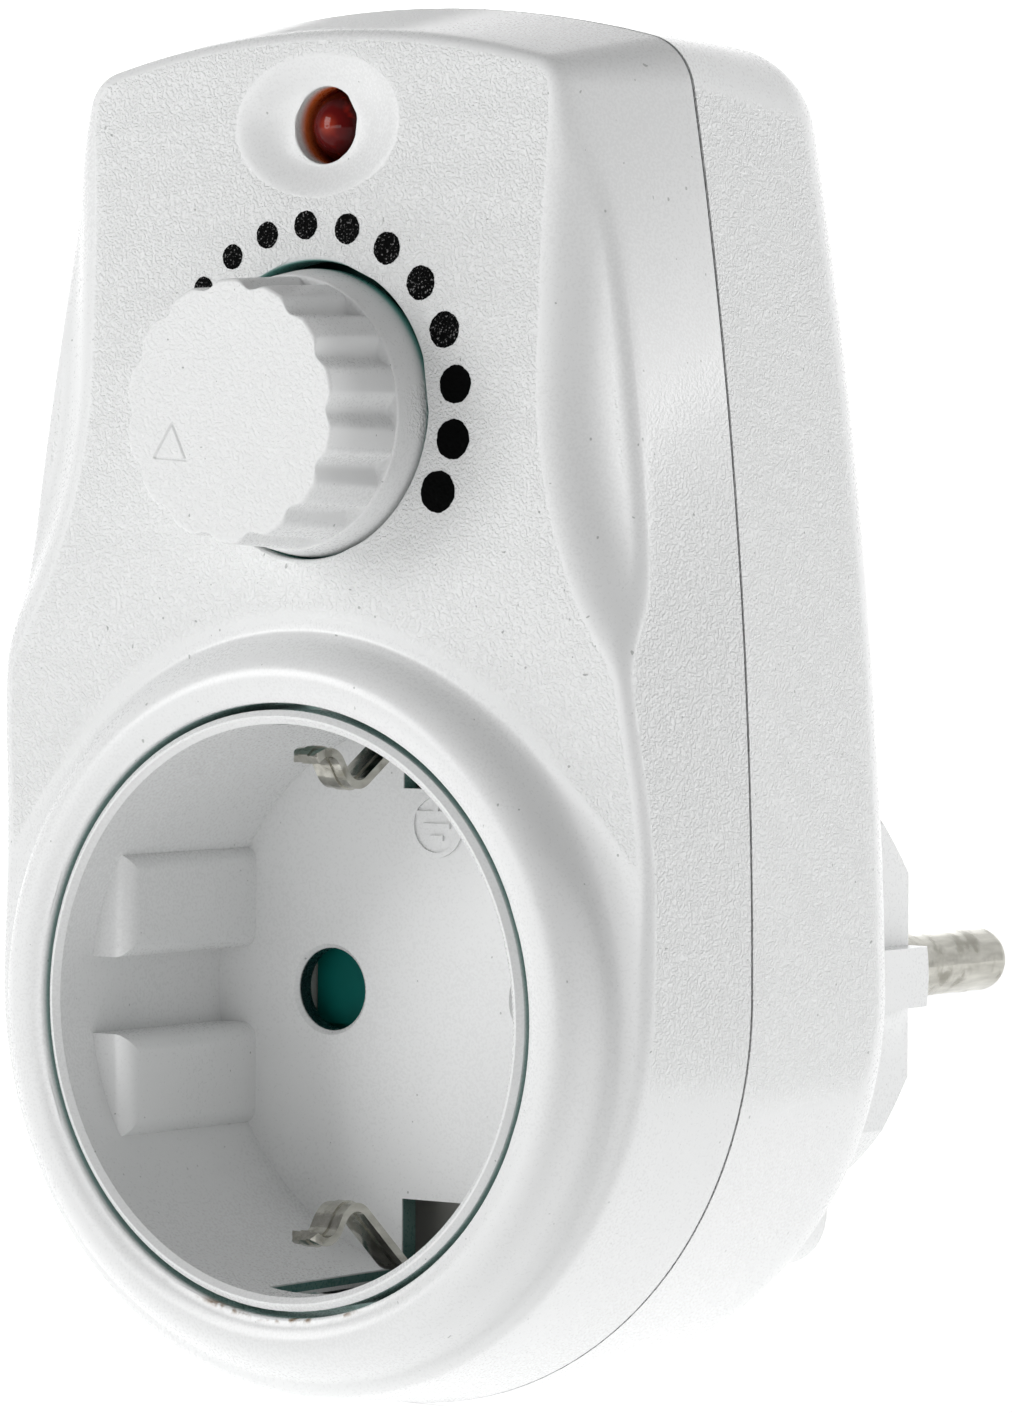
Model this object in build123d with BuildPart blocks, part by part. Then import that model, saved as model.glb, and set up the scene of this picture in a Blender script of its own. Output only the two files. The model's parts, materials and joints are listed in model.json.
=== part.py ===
from build123d import *
import math
import os

# Plug in dimmer: a plug and a socket back to back, with a dimmer above them.
# The origin is the centre of the plug's face, between its pins.
# +Y is the way the pins point, +Z is up, and the dial looks along -Y.

# Plug and socket system
pin_radius = 2.4
pin_length = 19.0
pin_spacing = 19.0
pin_root = 14.0
pin_root_radius = 1.9
pin_tip_round = 1.2
pin_recess = 0.5
plug_height = 19.7
plug_radius = 18.5
plug_face_radius = 16.5
plug_bevel = 3.4
plug_wall = 2.8
plug_side_wall = 1.7
plug_flat = 14.7
plug_rib = 16.7
rib_width = 4.4
contact_distance = 34.2
contact_groove_width = 5.6
well_radius = 19.55
well_depth = 18.2
hole_radius = 2.95
hole_lead_in = 0.3
hole_lead_taper = 45.0

# Casing outline at the seam, at the front and at the back
wall = 2.2
rear_depth = 22.6
front_depth = 10.35
round_rise = 1.2
half_width = 29.4
front_draw = 2.0
back_draw = 0.7
front_drop = 3.2
back_drop = 1.0
crown_rise = 8.5
lamp_rise = 19.5
back_round_share = 0.272
back_inner_round_share = 0.17
side_bow = 371.0
top_bow = 85.0
corner = 4.5
front_side_bow = 215.0
front_top_bow = 70.0
front_corner = 2.2
back_corner = 9.6
edge_slope = 0.038
face_slope = 0.05
back_slope = 0.04
seam_gap = 0.4
lip_height = 2.4
lip_wall = 1.0

# Dial face and the rolled collar round the socket
plateau_rise = 2.9
plateau_half_width = 20.3
plateau_bend_height = 44.0
plateau_bend = 34.4
plateau_reach = 25.0
plateau_taper = 38.0
plateau_pocket_half_width = 17.0
plateau_pocket_drop = 14.9
plateau_pocket_height = 36.0
ramp_height = 24.0
ramp_slope = 0.16
mouth_lead = 1.05
collar_radius = 20.97
collar_rim = 0.36
collar_crest_radius = 22.8
collar_crest = 0.35
collar_shoulder_radius = 24.5
collar_shoulder = 0.7
collar_valley_radius = 25.7
collar_valley = 3.1
skirt_reach = 0.1
skirt_edge = 4.6

# Clearances between pieces
part_gap = 0.3
slip = 0.15
run_gap = 0.05
overrun = 6.0

# Dial, knob and lamp; the dots stand at these turns, in degrees, smallest first
dot_turns = [206, 193, 179, 166, 152, 138, 123.2, 108.2, 92.9, 76.6, 59.7, 42.4, 25, 7.6, -9.2, -26]
dial_height = 40.9
dot_circle = 12.65
dot_small = 0.5
dot_large = 1.42
dot_depth = 0.25
knob_hole = 10.2
knob_drop = 0.2
knob_lead = 5.6
flange_lead = -1.0
flange_radius = 9.85
flange_thickness = 3.5
grip_radius = 8.9
grip_root_radius = 9.25
grip_round = 0.5
flute_count = 14
flute_radius = 1.3
flute_depth = 0.85
knob_shell = 1.6
knob_boss_radius = 4.8
pointer_side = 3.1
pointer_circle = 5.45
pointer_line = 0.3
pointer_depth = 0.25
shaft_radius = 3.0
shaft_flat = 2.3
shaft_seat = 2.2
shaft_bearing = 3.0
lamp_radius = 2.5
lamp_foot_radius = 2.9
lamp_foot = 0.9
lamp_hole = 2.65
lamp_recess = 0.15
lamp_tube_wall = 0.9
lamp_tube_depth = 5.5
lead_radius = 0.3
lead_spacing = 2.54
dimple_half_width = 6.1
dimple_half_height = 4.6
dimple_foot_half_width = 3.4
dimple_foot_half_height = 3.2
dimple_depth = 1.0

# Heights and widths that follow the dial and the casing's width
knob_height = dial_height - knob_drop
lamp_height = dial_height + lamp_rise
top_height = lamp_height + crown_rise
front_top_height = top_height - front_drop
back_top_height = top_height - back_drop
front_half_width = half_width - front_draw
back_half_width = half_width - back_draw
back_round = half_width * back_round_share
back_inner_round = half_width * back_inner_round_share
skirt_radius = half_width + skirt_reach

# Depths along Y, from the plug's face forward to the socket's mouth
back_y = -plug_height
seam_y = back_y - rear_depth
edge_y = seam_y - front_depth
face_y = edge_y - plateau_rise
mouth_y = face_y - mouth_lead
crest_y = mouth_y - collar_crest
floor_y = mouth_y + well_depth
back_inside_y = back_y - wall
front_inside_y = edge_y + wall
insert_seat_y = front_inside_y + edge_slope * skirt_radius
pin_x = pin_spacing / 2

# Socket insert
insert_radius = 20.5
insert_floor = 1.6
insert_flange_radius = 22.6
insert_flange = 1.5
insert_lip_round = 0.4
guide_face = 16.2
guide_inner = 2.7
guide_outer = 10.0
guide_lead = 3.6
guide_round = 1.2
clip_slot_half_width = 3.0
clip_slot_foot = 14.5
symbol_height = 12.0
symbol_radius = 2.3
symbol_line = 0.35
symbol_relief = 0.2
symbol_bar_rise = 0.8
symbol_bar_gap = 0.85
symbol_bar_shares = [1.5, 1.0, 0.5]
floor_back_y = floor_y + insert_floor

# Shutter chamber and contact carrier
chamber_depth = 2.8
carrier_plate = 1.6
carrier_radius = 20.3
carrier_tube_wall = 1.5
carrier_tube_depth = 9.8
chamber_wall = 1.2
chamber_top = 15.0
shutter_half_width = 12.9
shutter_half_height = 3.4
shutter_thickness = 1.1
shutter_ramp = 0.7
shutter_notch_half_width = 1.7
shutter_notch = 2.0
spring_wire = 0.2
spring_radius = 1.05
spring_turns = 9
contact_wall = 0.8
contact_slot = 0.8
contact_tail = 2.2
plate_front_y = floor_back_y + chamber_depth
plate_back_y = plate_front_y + carrier_plate
chamber_mid_y = floor_back_y + chamber_depth / 2
contact_inner = pin_radius + slip
contact_radius = contact_inner + contact_wall
tube_end_y = plate_back_y + carrier_tube_depth
contact_end_y = tube_end_y + contact_tail
seat_ring_wall = 1.5
seat_notch_y = tube_end_y - contact_tail

# Earth strips and their bridge
strip_thickness = 0.6
strip_width = 4.0
strip_bend = 1.1
strip_leg = 18.7
clip_rise = 0.75
clip_tip_depth = 3.0
clip_tip = 16.3
clip_curl_depth = 4.5
clip_curl = 17.7
clip_bump_depth = 7.1
clip_bump = 13.85
clip_root_depth = 13.6
clip_bend = 1.7
clip_width = 2.4
clip_tip_round = 0.9
clip_rib = 0.12
clip_rib_width = 0.8
clip_slot_lead = 3.0
strip_jog_from = 29.5
strip_jog_to = 26.0
strip_end = 1.5
bridge_y = 24.3
bridge_tail = 22.8
strip_contact = contact_distance / 2 - strip_thickness / 2

# Housing screws, as (x, z) places
top_screw_x = 16.0
top_screw_drop = 3.4
top_screw_z = lamp_height - top_screw_drop
foot_screw_inset = 5.8
foot_screw_circle = half_width - foot_screw_inset
foot_screw_angle = 50.0
foot_screw_x = foot_screw_circle * math.sin(math.radians(foot_screw_angle))
foot_screw_z = -foot_screw_circle * math.cos(math.radians(foot_screw_angle))
foot_screws = [(-foot_screw_x, foot_screw_z), (foot_screw_x, foot_screw_z)]
housing_screw_places = [(-top_screw_x, top_screw_z), (top_screw_x, top_screw_z)] + foot_screws
screw_radius = 1.45
screw_head_radius = 2.8
screw_head = 2.0
screw_grip = 7.5
screw_seat = 11.3
screw_slot_width = 0.9
screw_slot_depth = 0.9
boss_radius = 2.6
boss_floor = 1.2
head_seat_y = seam_y + screw_seat
head_pocket_radius = screw_head_radius + slip
head_boss_radius = head_pocket_radius + lip_wall

# Circuit board and its screws
board_thickness = 1.6
board_lead = 0.7
board_half_width = 21.5
board_foot_drop = 15.4
board_shoulder_rise = 11.1
board_foot = dial_height - board_foot_drop
board_shoulder = dial_height + board_shoulder_rise
board_neck_half_width = 13.0
board_top_rise = 2.6
board_top = lamp_height + board_top_rise
board_screw_x = 13.5
board_screw_drop = 12.5
board_screw_z = dial_height - board_screw_drop
board_post_radius = 2.4
board_screw_radius = 1.1
board_screw_head_radius = 2.2
board_screw_head = 1.5
board_screw_grip = 4.5
board_front_y = seam_y - board_lead
board_back_y = board_front_y + board_thickness

# What the board carries
pot_radius = 8.2
pot_gap = 1.1
choke_x = -2.4
choke_drop = 7.9
choke_foot = dial_height - choke_drop
choke_length = 18.0
choke_core_radius = 3.2
choke_wire = 0.4
choke_pitch = 1.25
choke_turns = 12
capacitor_x = -1.0
capacitor_drop = 8.0
capacitor_foot = lamp_height - capacitor_drop
capacitor_width = 18.0
capacitor_height = 7.0
capacitor_depth = 11.0
capacitor_round = 0.8
triac_x = 10.6
triac_drop = 6.9
triac_foot = dial_height - triac_drop
triac_thickness = 4.4
triac_width = 10.0
triac_body = 9.0
triac_tab = 6.0
triac_tab_thickness = 1.3
triac_tab_hole = 1.8
triac_standoff = 2.0
triac_lead_width = 0.8
triac_lead_thickness = 0.5
triac_lead_spacing = 2.54
sink_thickness = 1.5
sink_drop = 9.4
sink_foot = dial_height - sink_drop
sink_height = 18.5
sink_depth = 15.4
sink_fins = 4
sink_fin_length = 3.0
sink_fin_thickness = 0.9
fuse_x = -16.5
fuse_drop = 9.3
fuse_foot = dial_height - fuse_drop
fuse_length = 20.0
fuse_radius = 2.6
fuse_glass_radius = 2.4
fuse_cap_length = 5.0
fuse_rise = 4.2
clip_length = 4.0
clip_arm = 0.6
clip_cover = 1.2
axial_drop = 6.9
axial_foot = dial_height - axial_drop
axial_length = 6.3
axial_radius = 1.15
axial_reach = 1.6
resistor_places = [4.4, 7.6]
diac_place = 6.0
diac_rise = 4.6
diac_foot = dial_height + diac_rise
diac_length = 4.0
diac_radius = 1.0

# Wires
wire_radius = 1.1
wire_bend = 1.7
wire_landing_drop = 11.6
wire_landing = dial_height - wire_landing_drop
wire_rise = 10.4
wire_run_y = 27.5
wire_start = 1.5
load_wire_x = pin_x - contact_radius - wire_radius
wire_notch_side = 1.1
link_thickness = 0.8
link_width = 4.0
link_bend = 0.6
neutral_wire_x = -pin_x + contact_radius + link_thickness + wire_radius


def across(y):
    """The plane across the depth at y, looking forward."""
    return Plane.XZ.offset(-y)


def leaning(y, slope, height=0):
    """A plane that looks forward and leans back by slope as it rises."""
    return Plane(origin=(0, y + slope * height, height), x_dir=(1, 0, 0), z_dir=(0, -1, slope))


def circle_meet(centre_a, radius_a, centre_b, radius_b):
    """The upper point where two circles meet."""
    ax, ay = centre_a
    bx, by = centre_b
    span = math.hypot(bx - ax, by - ay)
    along = (span**2 + radius_a**2 - radius_b**2) / (2 * span)
    aside = math.sqrt(radius_a**2 - along**2)
    ux, uy = (bx - ax) / span, (by - ay) / span
    first = (ax + along * ux - aside * uy, ay + along * uy + aside * ux)
    second = (ax + along * ux + aside * uy, ay + along * uy - aside * ux)
    return max(first, second, key=lambda point: point[1])


def casing_outline(half, bow, top, crown, radius, inset):
    """Round foot, slightly bowed sides, arched top with round corners."""
    half, bow = half - inset, bow - inset
    top, crown = top - inset, crown - inset
    side_x = half - bow
    meet_x, meet_z = circle_meet((side_x, round_rise), bow, (0, top - crown), crown)
    swing = math.atan2(meet_z - round_rise, meet_x - side_x) / 2
    mid_x = side_x + bow * math.cos(swing)
    mid_z = round_rise + bow * math.sin(swing)
    with BuildSketch() as outline:
        with BuildLine():
            ThreePointArc((-half, round_rise), (0, round_rise - half), (half, round_rise))
            ThreePointArc((half, round_rise), (mid_x, mid_z), (meet_x, meet_z))
            ThreePointArc((meet_x, meet_z), (0, top), (-meet_x, meet_z))
            ThreePointArc((-meet_x, meet_z), (-mid_x, mid_z), (-half, round_rise))
        make_face()
        fillet(outline.vertices().group_by(Axis.Y)[-1], max(radius - inset, radius / 2))
    return outline.sketch


def seam_outline(inset):
    return casing_outline(half_width, side_bow, top_height, top_bow, corner, inset)


def front_form(inset):
    """The front shell's solid between the seam and the collar's crest."""
    front = casing_outline(
        front_half_width, front_side_bow, front_top_height, front_top_bow, front_corner, inset
    )
    with BuildPart() as form:
        with BuildSketch(across(seam_y)):
            add(seam_outline(inset))
        with BuildSketch(across(crest_y)):
            add(front)
        loft(ruled=True)
    return form.part


def rear_form(inset, edge_round):
    """The rear shell's solid between the seam and its leaning, rounded back."""
    back = casing_outline(back_half_width, side_bow, back_top_height, top_bow, back_corner, inset)
    with BuildPart() as form:
        with BuildSketch(across(seam_y)):
            add(seam_outline(inset))
        with BuildSketch(across(back_y + overrun)):
            add(back)
        loft(ruled=True)
        split(bisect_by=leaning(back_y - inset, -back_slope), keep=Keep.TOP)
        fillet(form.faces().sort_by(Axis.Y)[-1].edges(), edge_round)
    return form.part


def half_turns(radius, pitch, turns):
    """A coil's centre line up Z, as half turns that each tilt by half the pitch."""
    points = []
    for step in range(2 * turns):
        side = 1 if step % 2 == 0 else -1
        low = step * pitch / 2
        points.append(
            (
                (side * radius, 0, low),
                (0, side * radius, low + pitch / 4),
                (-side * radius, 0, low + pitch / 2),
            )
        )
    return points


# Front cover
with BuildPart() as plateau:
    with BuildSketch(leaning(edge_y, edge_slope)):
        with BuildLine():
            bend_z = plateau_bend_height - plateau_reach
            bend_x = plateau_half_width + plateau_bend
            bend_x -= math.sqrt(plateau_bend**2 - plateau_reach**2)
            half_reach = plateau_reach / 2
            mid_z = plateau_bend_height - half_reach
            mid_x = plateau_half_width + plateau_bend
            mid_x -= math.sqrt(plateau_bend**2 - half_reach**2)
            Polyline(
                (plateau_half_width, plateau_bend_height),
                (plateau_half_width, top_height),
                (-plateau_half_width, top_height),
                (-plateau_half_width, plateau_bend_height),
            )
            ThreePointArc(
                (-plateau_half_width, plateau_bend_height), (-mid_x, mid_z), (-bend_x, bend_z)
            )
            Polyline((-bend_x, bend_z), (-bend_x, 0), (bend_x, 0), (bend_x, bend_z))
            ThreePointArc(
                (bend_x, bend_z), (mid_x, mid_z), (plateau_half_width, plateau_bend_height)
            )
        make_face()
        offset(amount=plateau_rise * math.tan(math.radians(plateau_taper)))
    extrude(amount=plateau_rise + mouth_lead, taper=plateau_taper)
    split(bisect_by=leaning(face_y, face_slope), keep=Keep.BOTTOM)
    ramp_y = face_y + (face_slope + ramp_slope) * ramp_height
    split(bisect_by=leaning(ramp_y, -ramp_slope), keep=Keep.BOTTOM)
    add(front_form(0), mode=Mode.INTERSECT)

with BuildPart() as collar:
    with BuildSketch(Plane.XY):
        with BuildLine():
            Polyline(
                (collar_radius, mouth_y + collar_rim),
                (collar_radius, insert_seat_y),
                (skirt_radius, insert_seat_y),
                (skirt_radius, mouth_y + skirt_edge),
                (collar_valley_radius, mouth_y + collar_valley),
                (collar_shoulder_radius, mouth_y + collar_shoulder),
            )
            ThreePointArc(
                (collar_shoulder_radius, mouth_y + collar_shoulder),
                (collar_crest_radius, crest_y),
                (collar_radius, mouth_y + collar_rim),
            )
        make_face()
    revolve(axis=Axis.Y)
    add(front_form(0), mode=Mode.INTERSECT)

with BuildPart() as front_room:
    add(front_form(wall))
    split(bisect_by=leaning(front_inside_y, edge_slope), keep=Keep.BOTTOM)

dial_plane = leaning(face_y, face_slope, dial_height)
lamp_plane = leaning(face_y, face_slope, lamp_height)
dot_growth = (dot_large - dot_small) / (len(dot_turns) - 1)
dot_places = [
    (
        dot_circle * math.cos(math.radians(turn)),
        dot_circle * math.sin(math.radians(turn)),
        dot_small + dot_growth * index,
    )
    for index, turn in enumerate(dot_turns)
]
lamp_tip_y = face_y + face_slope * lamp_height + dimple_depth + lamp_recess

with BuildPart() as front_cover:
    add(front_form(0))
    split(bisect_by=leaning(edge_y, edge_slope), keep=Keep.BOTTOM)
    split(bisect_by=across(seam_y - seam_gap), keep=Keep.TOP)
    add(plateau.part)
    add(collar.part)
    add(front_room.part, mode=Mode.SUBTRACT)
    with BuildSketch(leaning(face_y, face_slope).offset(-wall)):
        with Locations((0, dial_height - plateau_pocket_drop)):
            Rectangle(
                2 * plateau_pocket_half_width,
                plateau_pocket_height,
                align=(Align.CENTER, Align.MIN),
            )
    extrude(amount=-plateau_rise, mode=Mode.SUBTRACT)
    with BuildSketch(across(seam_y)):
        with Locations(*housing_screw_places):
            Circle(boss_radius)
    extrude(amount=seam_y - front_inside_y)
    with BuildSketch(across(board_front_y)):
        with Locations((-board_screw_x, board_screw_z), (board_screw_x, board_screw_z)):
            Circle(board_post_radius)
    extrude(amount=board_front_y - front_inside_y + plateau_rise)
    with BuildSketch(across(lamp_tip_y + lamp_tube_depth)):
        with Locations((0, lamp_height)):
            Circle(lamp_hole + lamp_tube_wall)
    extrude(amount=lamp_tube_depth)
    with BuildSketch(across(seam_y)):
        with Locations(*housing_screw_places):
            Circle(screw_radius)
    extrude(amount=screw_grip, mode=Mode.SUBTRACT)
    with BuildSketch(across(board_front_y)):
        with Locations((-board_screw_x, board_screw_z), (board_screw_x, board_screw_z)):
            Circle(board_screw_radius)
    extrude(amount=board_screw_grip, mode=Mode.SUBTRACT)
    with BuildSketch(across(front_inside_y + overrun)):
        Circle(collar_radius)
        with Locations((0, dial_height)):
            Circle(knob_hole)
    extrude(amount=wall + plateau_rise + 2 * overrun, mode=Mode.SUBTRACT)
    with BuildSketch(across(lamp_tip_y + lamp_tube_depth)):
        with Locations((0, lamp_height)):
            Circle(lamp_hole)
    extrude(amount=lamp_tube_depth + overrun, mode=Mode.SUBTRACT)
    with BuildSketch(lamp_plane):
        Ellipse(dimple_half_width, dimple_half_height)
    with BuildSketch(lamp_plane.offset(-dimple_depth)):
        Ellipse(dimple_foot_half_width, dimple_foot_half_height)
    loft(ruled=True, mode=Mode.SUBTRACT)
    with BuildSketch(dial_plane):
        for dot_x, dot_z, dot_radius in dot_places:
            with Locations((dot_x, dot_z)):
                Circle(dot_radius)
    extrude(amount=-dot_depth, mode=Mode.SUBTRACT)
front_cover.part.label = "front_cover"

with BuildPart() as scale_dots:
    with BuildSketch(dial_plane):
        for dot_x, dot_z, dot_radius in dot_places:
            with Locations((dot_x, dot_z)):
                Circle(dot_radius)
    extrude(amount=-dot_depth)
scale_dots.part.label = "scale_dots"

# Rear cover with the plug's body
with BuildPart() as plug_body:
    with BuildSketch(Plane.XY):
        with BuildLine():
            Polyline(
                (0, back_inside_y),
                (plug_radius, back_inside_y),
                (plug_radius, -plug_bevel),
                (plug_face_radius, 0),
                (0, 0),
                close=True,
            )
        make_face()
    revolve(axis=Axis.Y)
    with BuildSketch(across(overrun)):
        Rectangle(2 * plug_flat, 2 * plug_radius)
        Rectangle(2 * plug_rib, rib_width)
    extrude(amount=overrun - back_inside_y, mode=Mode.INTERSECT)

with BuildPart() as lip:
    add(front_form(wall + slip))
    add(front_form(wall + slip + lip_wall), mode=Mode.SUBTRACT)
    split(bisect_by=across(seam_y - lip_height), keep=Keep.BOTTOM)
    with BuildSketch(across(seam_y)):
        with Locations(*housing_screw_places):
            Circle(boss_radius + part_gap)
    extrude(amount=lip_height, mode=Mode.SUBTRACT)
    with BuildSketch(across(seam_y + lip_height)):
        add(seam_outline(wall / 2))
        add(seam_outline(wall + slip + lip_wall), mode=Mode.SUBTRACT)
    extrude(amount=lip_height)

with BuildPart() as rear_cover:
    add(rear_form(0, back_round))
    add(rear_form(wall, back_inner_round), mode=Mode.SUBTRACT)
    add(lip.part)
    add(plug_body.part)
    with BuildSketch(across(back_inside_y)):
        Circle(carrier_radius)
        Circle(carrier_radius - seat_ring_wall, mode=Mode.SUBTRACT)
    extrude(amount=back_inside_y - plate_back_y)
    with BuildSketch(across(back_inside_y)):
        with Locations(*housing_screw_places):
            Circle(head_boss_radius)
    extrude(amount=back_inside_y - head_seat_y + boss_floor)
    with BuildSketch(across(head_seat_y)):
        with Locations(*housing_screw_places):
            Circle(boss_radius)
    extrude(amount=head_seat_y - seam_y)
    with BuildSketch(across(-wall)):
        Circle(plug_radius - plug_wall)
        Rectangle(2 * (plug_flat - plug_side_wall), 2 * plug_radius, mode=Mode.INTERSECT)
    extrude(amount=plug_height + wall, mode=Mode.SUBTRACT)
    with BuildSketch(across(0)):
        with Locations((-pin_x, 0), (pin_x, 0)):
            Circle(pin_root_radius)
    extrude(amount=wall + overrun, mode=Mode.SUBTRACT)
    with BuildSketch(across(0)):
        with Locations((-pin_x, 0), (pin_x, 0)):
            Circle(pin_radius + part_gap)
    extrude(amount=pin_recess, mode=Mode.SUBTRACT)
    with BuildSketch(across(overrun)):
        with Locations(*housing_screw_places):
            Circle(head_pocket_radius)
    extrude(amount=overrun - head_seat_y, mode=Mode.SUBTRACT)
    with BuildSketch(across(head_seat_y)):
        with Locations(*housing_screw_places):
            Circle(screw_radius + slip)
    extrude(amount=head_seat_y - seam_y, mode=Mode.SUBTRACT)
    groove_floor = contact_distance / 2 - strip_thickness
    with BuildSketch(across(0)):
        for side in (1, -1):
            with Locations((0, side * groove_floor)):
                Rectangle(
                    contact_groove_width,
                    2 * overrun,
                    align=(Align.CENTER, Align.MIN if side > 0 else Align.MAX),
                )
    extrude(amount=plug_height - wall, mode=Mode.SUBTRACT)
    with BuildSketch(across(0)):
        with Locations((0, strip_contact), (0, -strip_contact)):
            Rectangle(strip_width + 2 * slip, strip_thickness + slip)
    extrude(amount=-back_inside_y + overrun, mode=Mode.SUBTRACT)
    with BuildSketch(across(seat_notch_y)):
        Rectangle(2 * clip_slot_half_width, 2 * carrier_radius)
        notch_left = neutral_wire_x - wire_radius - wire_notch_side
        notch_right = pin_x + wire_radius + wire_notch_side
        with Locations((notch_left, 0)):
            Rectangle(notch_right - notch_left, carrier_radius, align=(Align.MIN, Align.MIN))
    extrude(amount=seat_notch_y - plate_back_y, mode=Mode.SUBTRACT)
rear_cover.part.label = "rear_cover"

# Socket insert: the well, its guide blocks and its floor
with BuildPart() as guides:
    guide_reach = well_radius + slip - guide_face
    with BuildSketch(across(floor_y + slip)):
        with GridLocations(2 * guide_face + guide_reach, guide_outer + guide_inner, 2, 2):
            Rectangle(guide_reach, guide_outer - guide_inner)
    extrude(amount=well_depth - guide_lead)
    guide_edges = guides.edges().filter_by(
        lambda edge: abs(abs(edge.center().X) - guide_face) < slip
        and edge.center().Y < floor_y - slip
    )
    fillet(guide_edges, guide_round)
    with BuildSketch(across(floor_y + overrun)):
        Circle(well_radius + slip)
    extrude(amount=well_depth + overrun, mode=Mode.INTERSECT)

with BuildPart() as socket_insert:
    with BuildSketch(Plane.XY):
        with BuildLine():
            Polyline(
                (0, floor_back_y),
                (insert_radius, floor_back_y),
                (insert_radius, insert_seat_y + insert_flange),
                (insert_flange_radius, insert_seat_y + insert_flange),
                (insert_flange_radius, insert_seat_y),
                (insert_radius, insert_seat_y),
                (insert_radius, mouth_y + insert_lip_round),
                (insert_radius - insert_lip_round, mouth_y),
                (well_radius + insert_lip_round, mouth_y),
                (well_radius, mouth_y + insert_lip_round),
                (well_radius, floor_y),
                (0, floor_y),
                close=True,
            )
        make_face()
    revolve(axis=Axis.Y)
    add(guides.part)
    with BuildSketch(across(floor_back_y)):
        with Locations((-pin_x, 0), (pin_x, 0)):
            Circle(hole_radius)
    extrude(amount=insert_floor, mode=Mode.SUBTRACT)
    with BuildSketch(across(floor_back_y)):
        Rectangle(2 * clip_slot_half_width, 2 * insert_radius)
        Circle(insert_radius, mode=Mode.INTERSECT)
        Rectangle(2 * clip_slot_half_width, 2 * clip_slot_foot, mode=Mode.SUBTRACT)
    extrude(amount=insert_floor + well_depth - clip_slot_lead, mode=Mode.SUBTRACT)
    with BuildSketch(across(floor_y)):
        with Locations((-pin_x, 0), (pin_x, 0)):
            Circle(hole_radius + hole_lead_in)
    extrude(amount=-hole_lead_in, taper=hole_lead_taper, mode=Mode.SUBTRACT)
    with BuildSketch(across(insert_seat_y + insert_flange)):
        with Locations(*foot_screws):
            Circle(boss_radius + part_gap)
    extrude(amount=insert_flange, mode=Mode.SUBTRACT)
    with BuildSketch(across(floor_y)):
        with Locations((0, symbol_height)):
            Circle(symbol_radius)
            Circle(symbol_radius - symbol_line, mode=Mode.SUBTRACT)
            with Locations((0, symbol_bar_rise)):
                Rectangle(
                    symbol_line,
                    symbol_radius - symbol_bar_rise,
                    align=(Align.CENTER, Align.MIN),
                )
            for index, bar_share in enumerate(symbol_bar_shares):
                with Locations((0, symbol_bar_rise - index * symbol_bar_gap)):
                    Rectangle(symbol_radius * bar_share, symbol_line)
    extrude(amount=symbol_relief)
socket_insert.part.label = "socket_insert"

# Shutter, its spring and the carrier that closes its chamber
with BuildPart() as contact_carrier:
    with BuildSketch(across(plate_back_y)):
        Circle(carrier_radius)
    extrude(amount=carrier_plate)
    with BuildSketch(across(plate_front_y)):
        chamber_foot = shutter_half_height + part_gap
        chamber_half_width = shutter_half_width + part_gap
        with Locations((0, -chamber_foot - chamber_wall)):
            Rectangle(
                2 * (chamber_half_width + chamber_wall),
                chamber_foot + chamber_top + 2 * chamber_wall,
                align=(Align.CENTER, Align.MIN),
            )
        with Locations((0, -chamber_foot)):
            Rectangle(
                2 * chamber_half_width,
                chamber_foot + chamber_top,
                align=(Align.CENTER, Align.MIN),
                mode=Mode.SUBTRACT,
            )
        Circle(carrier_radius, mode=Mode.INTERSECT)
    extrude(amount=chamber_depth)
    with BuildSketch(across(tube_end_y)):
        with Locations((-pin_x, 0), (pin_x, 0)):
            Circle(contact_radius + carrier_tube_wall)
    extrude(amount=carrier_tube_depth)
    with BuildSketch(across(tube_end_y)):
        with Locations((-pin_x, 0), (pin_x, 0)):
            Circle(contact_radius)
    extrude(amount=carrier_tube_depth, mode=Mode.SUBTRACT)
    with BuildSketch(across(plate_back_y)):
        with Locations((-pin_x, 0), (pin_x, 0)):
            Circle(hole_radius)
        strip_slot_foot = strip_leg - strip_thickness
        for side in (1, -1):
            with Locations((0, side * strip_slot_foot)):
                Rectangle(
                    strip_width + 4 * slip,
                    overrun,
                    align=(Align.CENTER, Align.MIN if side > 0 else Align.MAX),
                )
    extrude(amount=carrier_plate, mode=Mode.SUBTRACT)
contact_carrier.part.label = "contact_carrier"

with BuildPart() as safety_shutter:
    shutter_back_y = plate_front_y - part_gap
    with BuildSketch(across(shutter_back_y)):
        Rectangle(2 * shutter_half_width, 2 * shutter_half_height)
        with Locations((0, shutter_half_height)):
            Rectangle(
                2 * shutter_notch_half_width,
                shutter_notch,
                align=(Align.CENTER, Align.MAX),
                mode=Mode.SUBTRACT,
            )
    extrude(amount=shutter_thickness)
    front_foot = safety_shutter.edges().filter_by(Axis.X).group_by(Axis.Y)[0].sort_by(Axis.Z)[0]
    chamfer(front_foot, shutter_ramp)
safety_shutter.part.label = "safety_shutter"

spring_foot = shutter_half_height - shutter_notch + spring_wire
spring_length = chamber_top - spring_wire - spring_foot
with BuildPart() as shutter_spring:
    with BuildLine(Plane(origin=(0, chamber_mid_y, spring_foot))) as spring_path:
        for start, middle, end in half_turns(
            spring_radius, spring_length / spring_turns, spring_turns
        ):
            ThreePointArc(start, middle, end)
    with BuildSketch(Plane(origin=spring_path.line @ 0, z_dir=spring_path.line % 0)):
        Circle(spring_wire)
    sweep()
shutter_spring.part.label = "shutter_spring"


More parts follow.
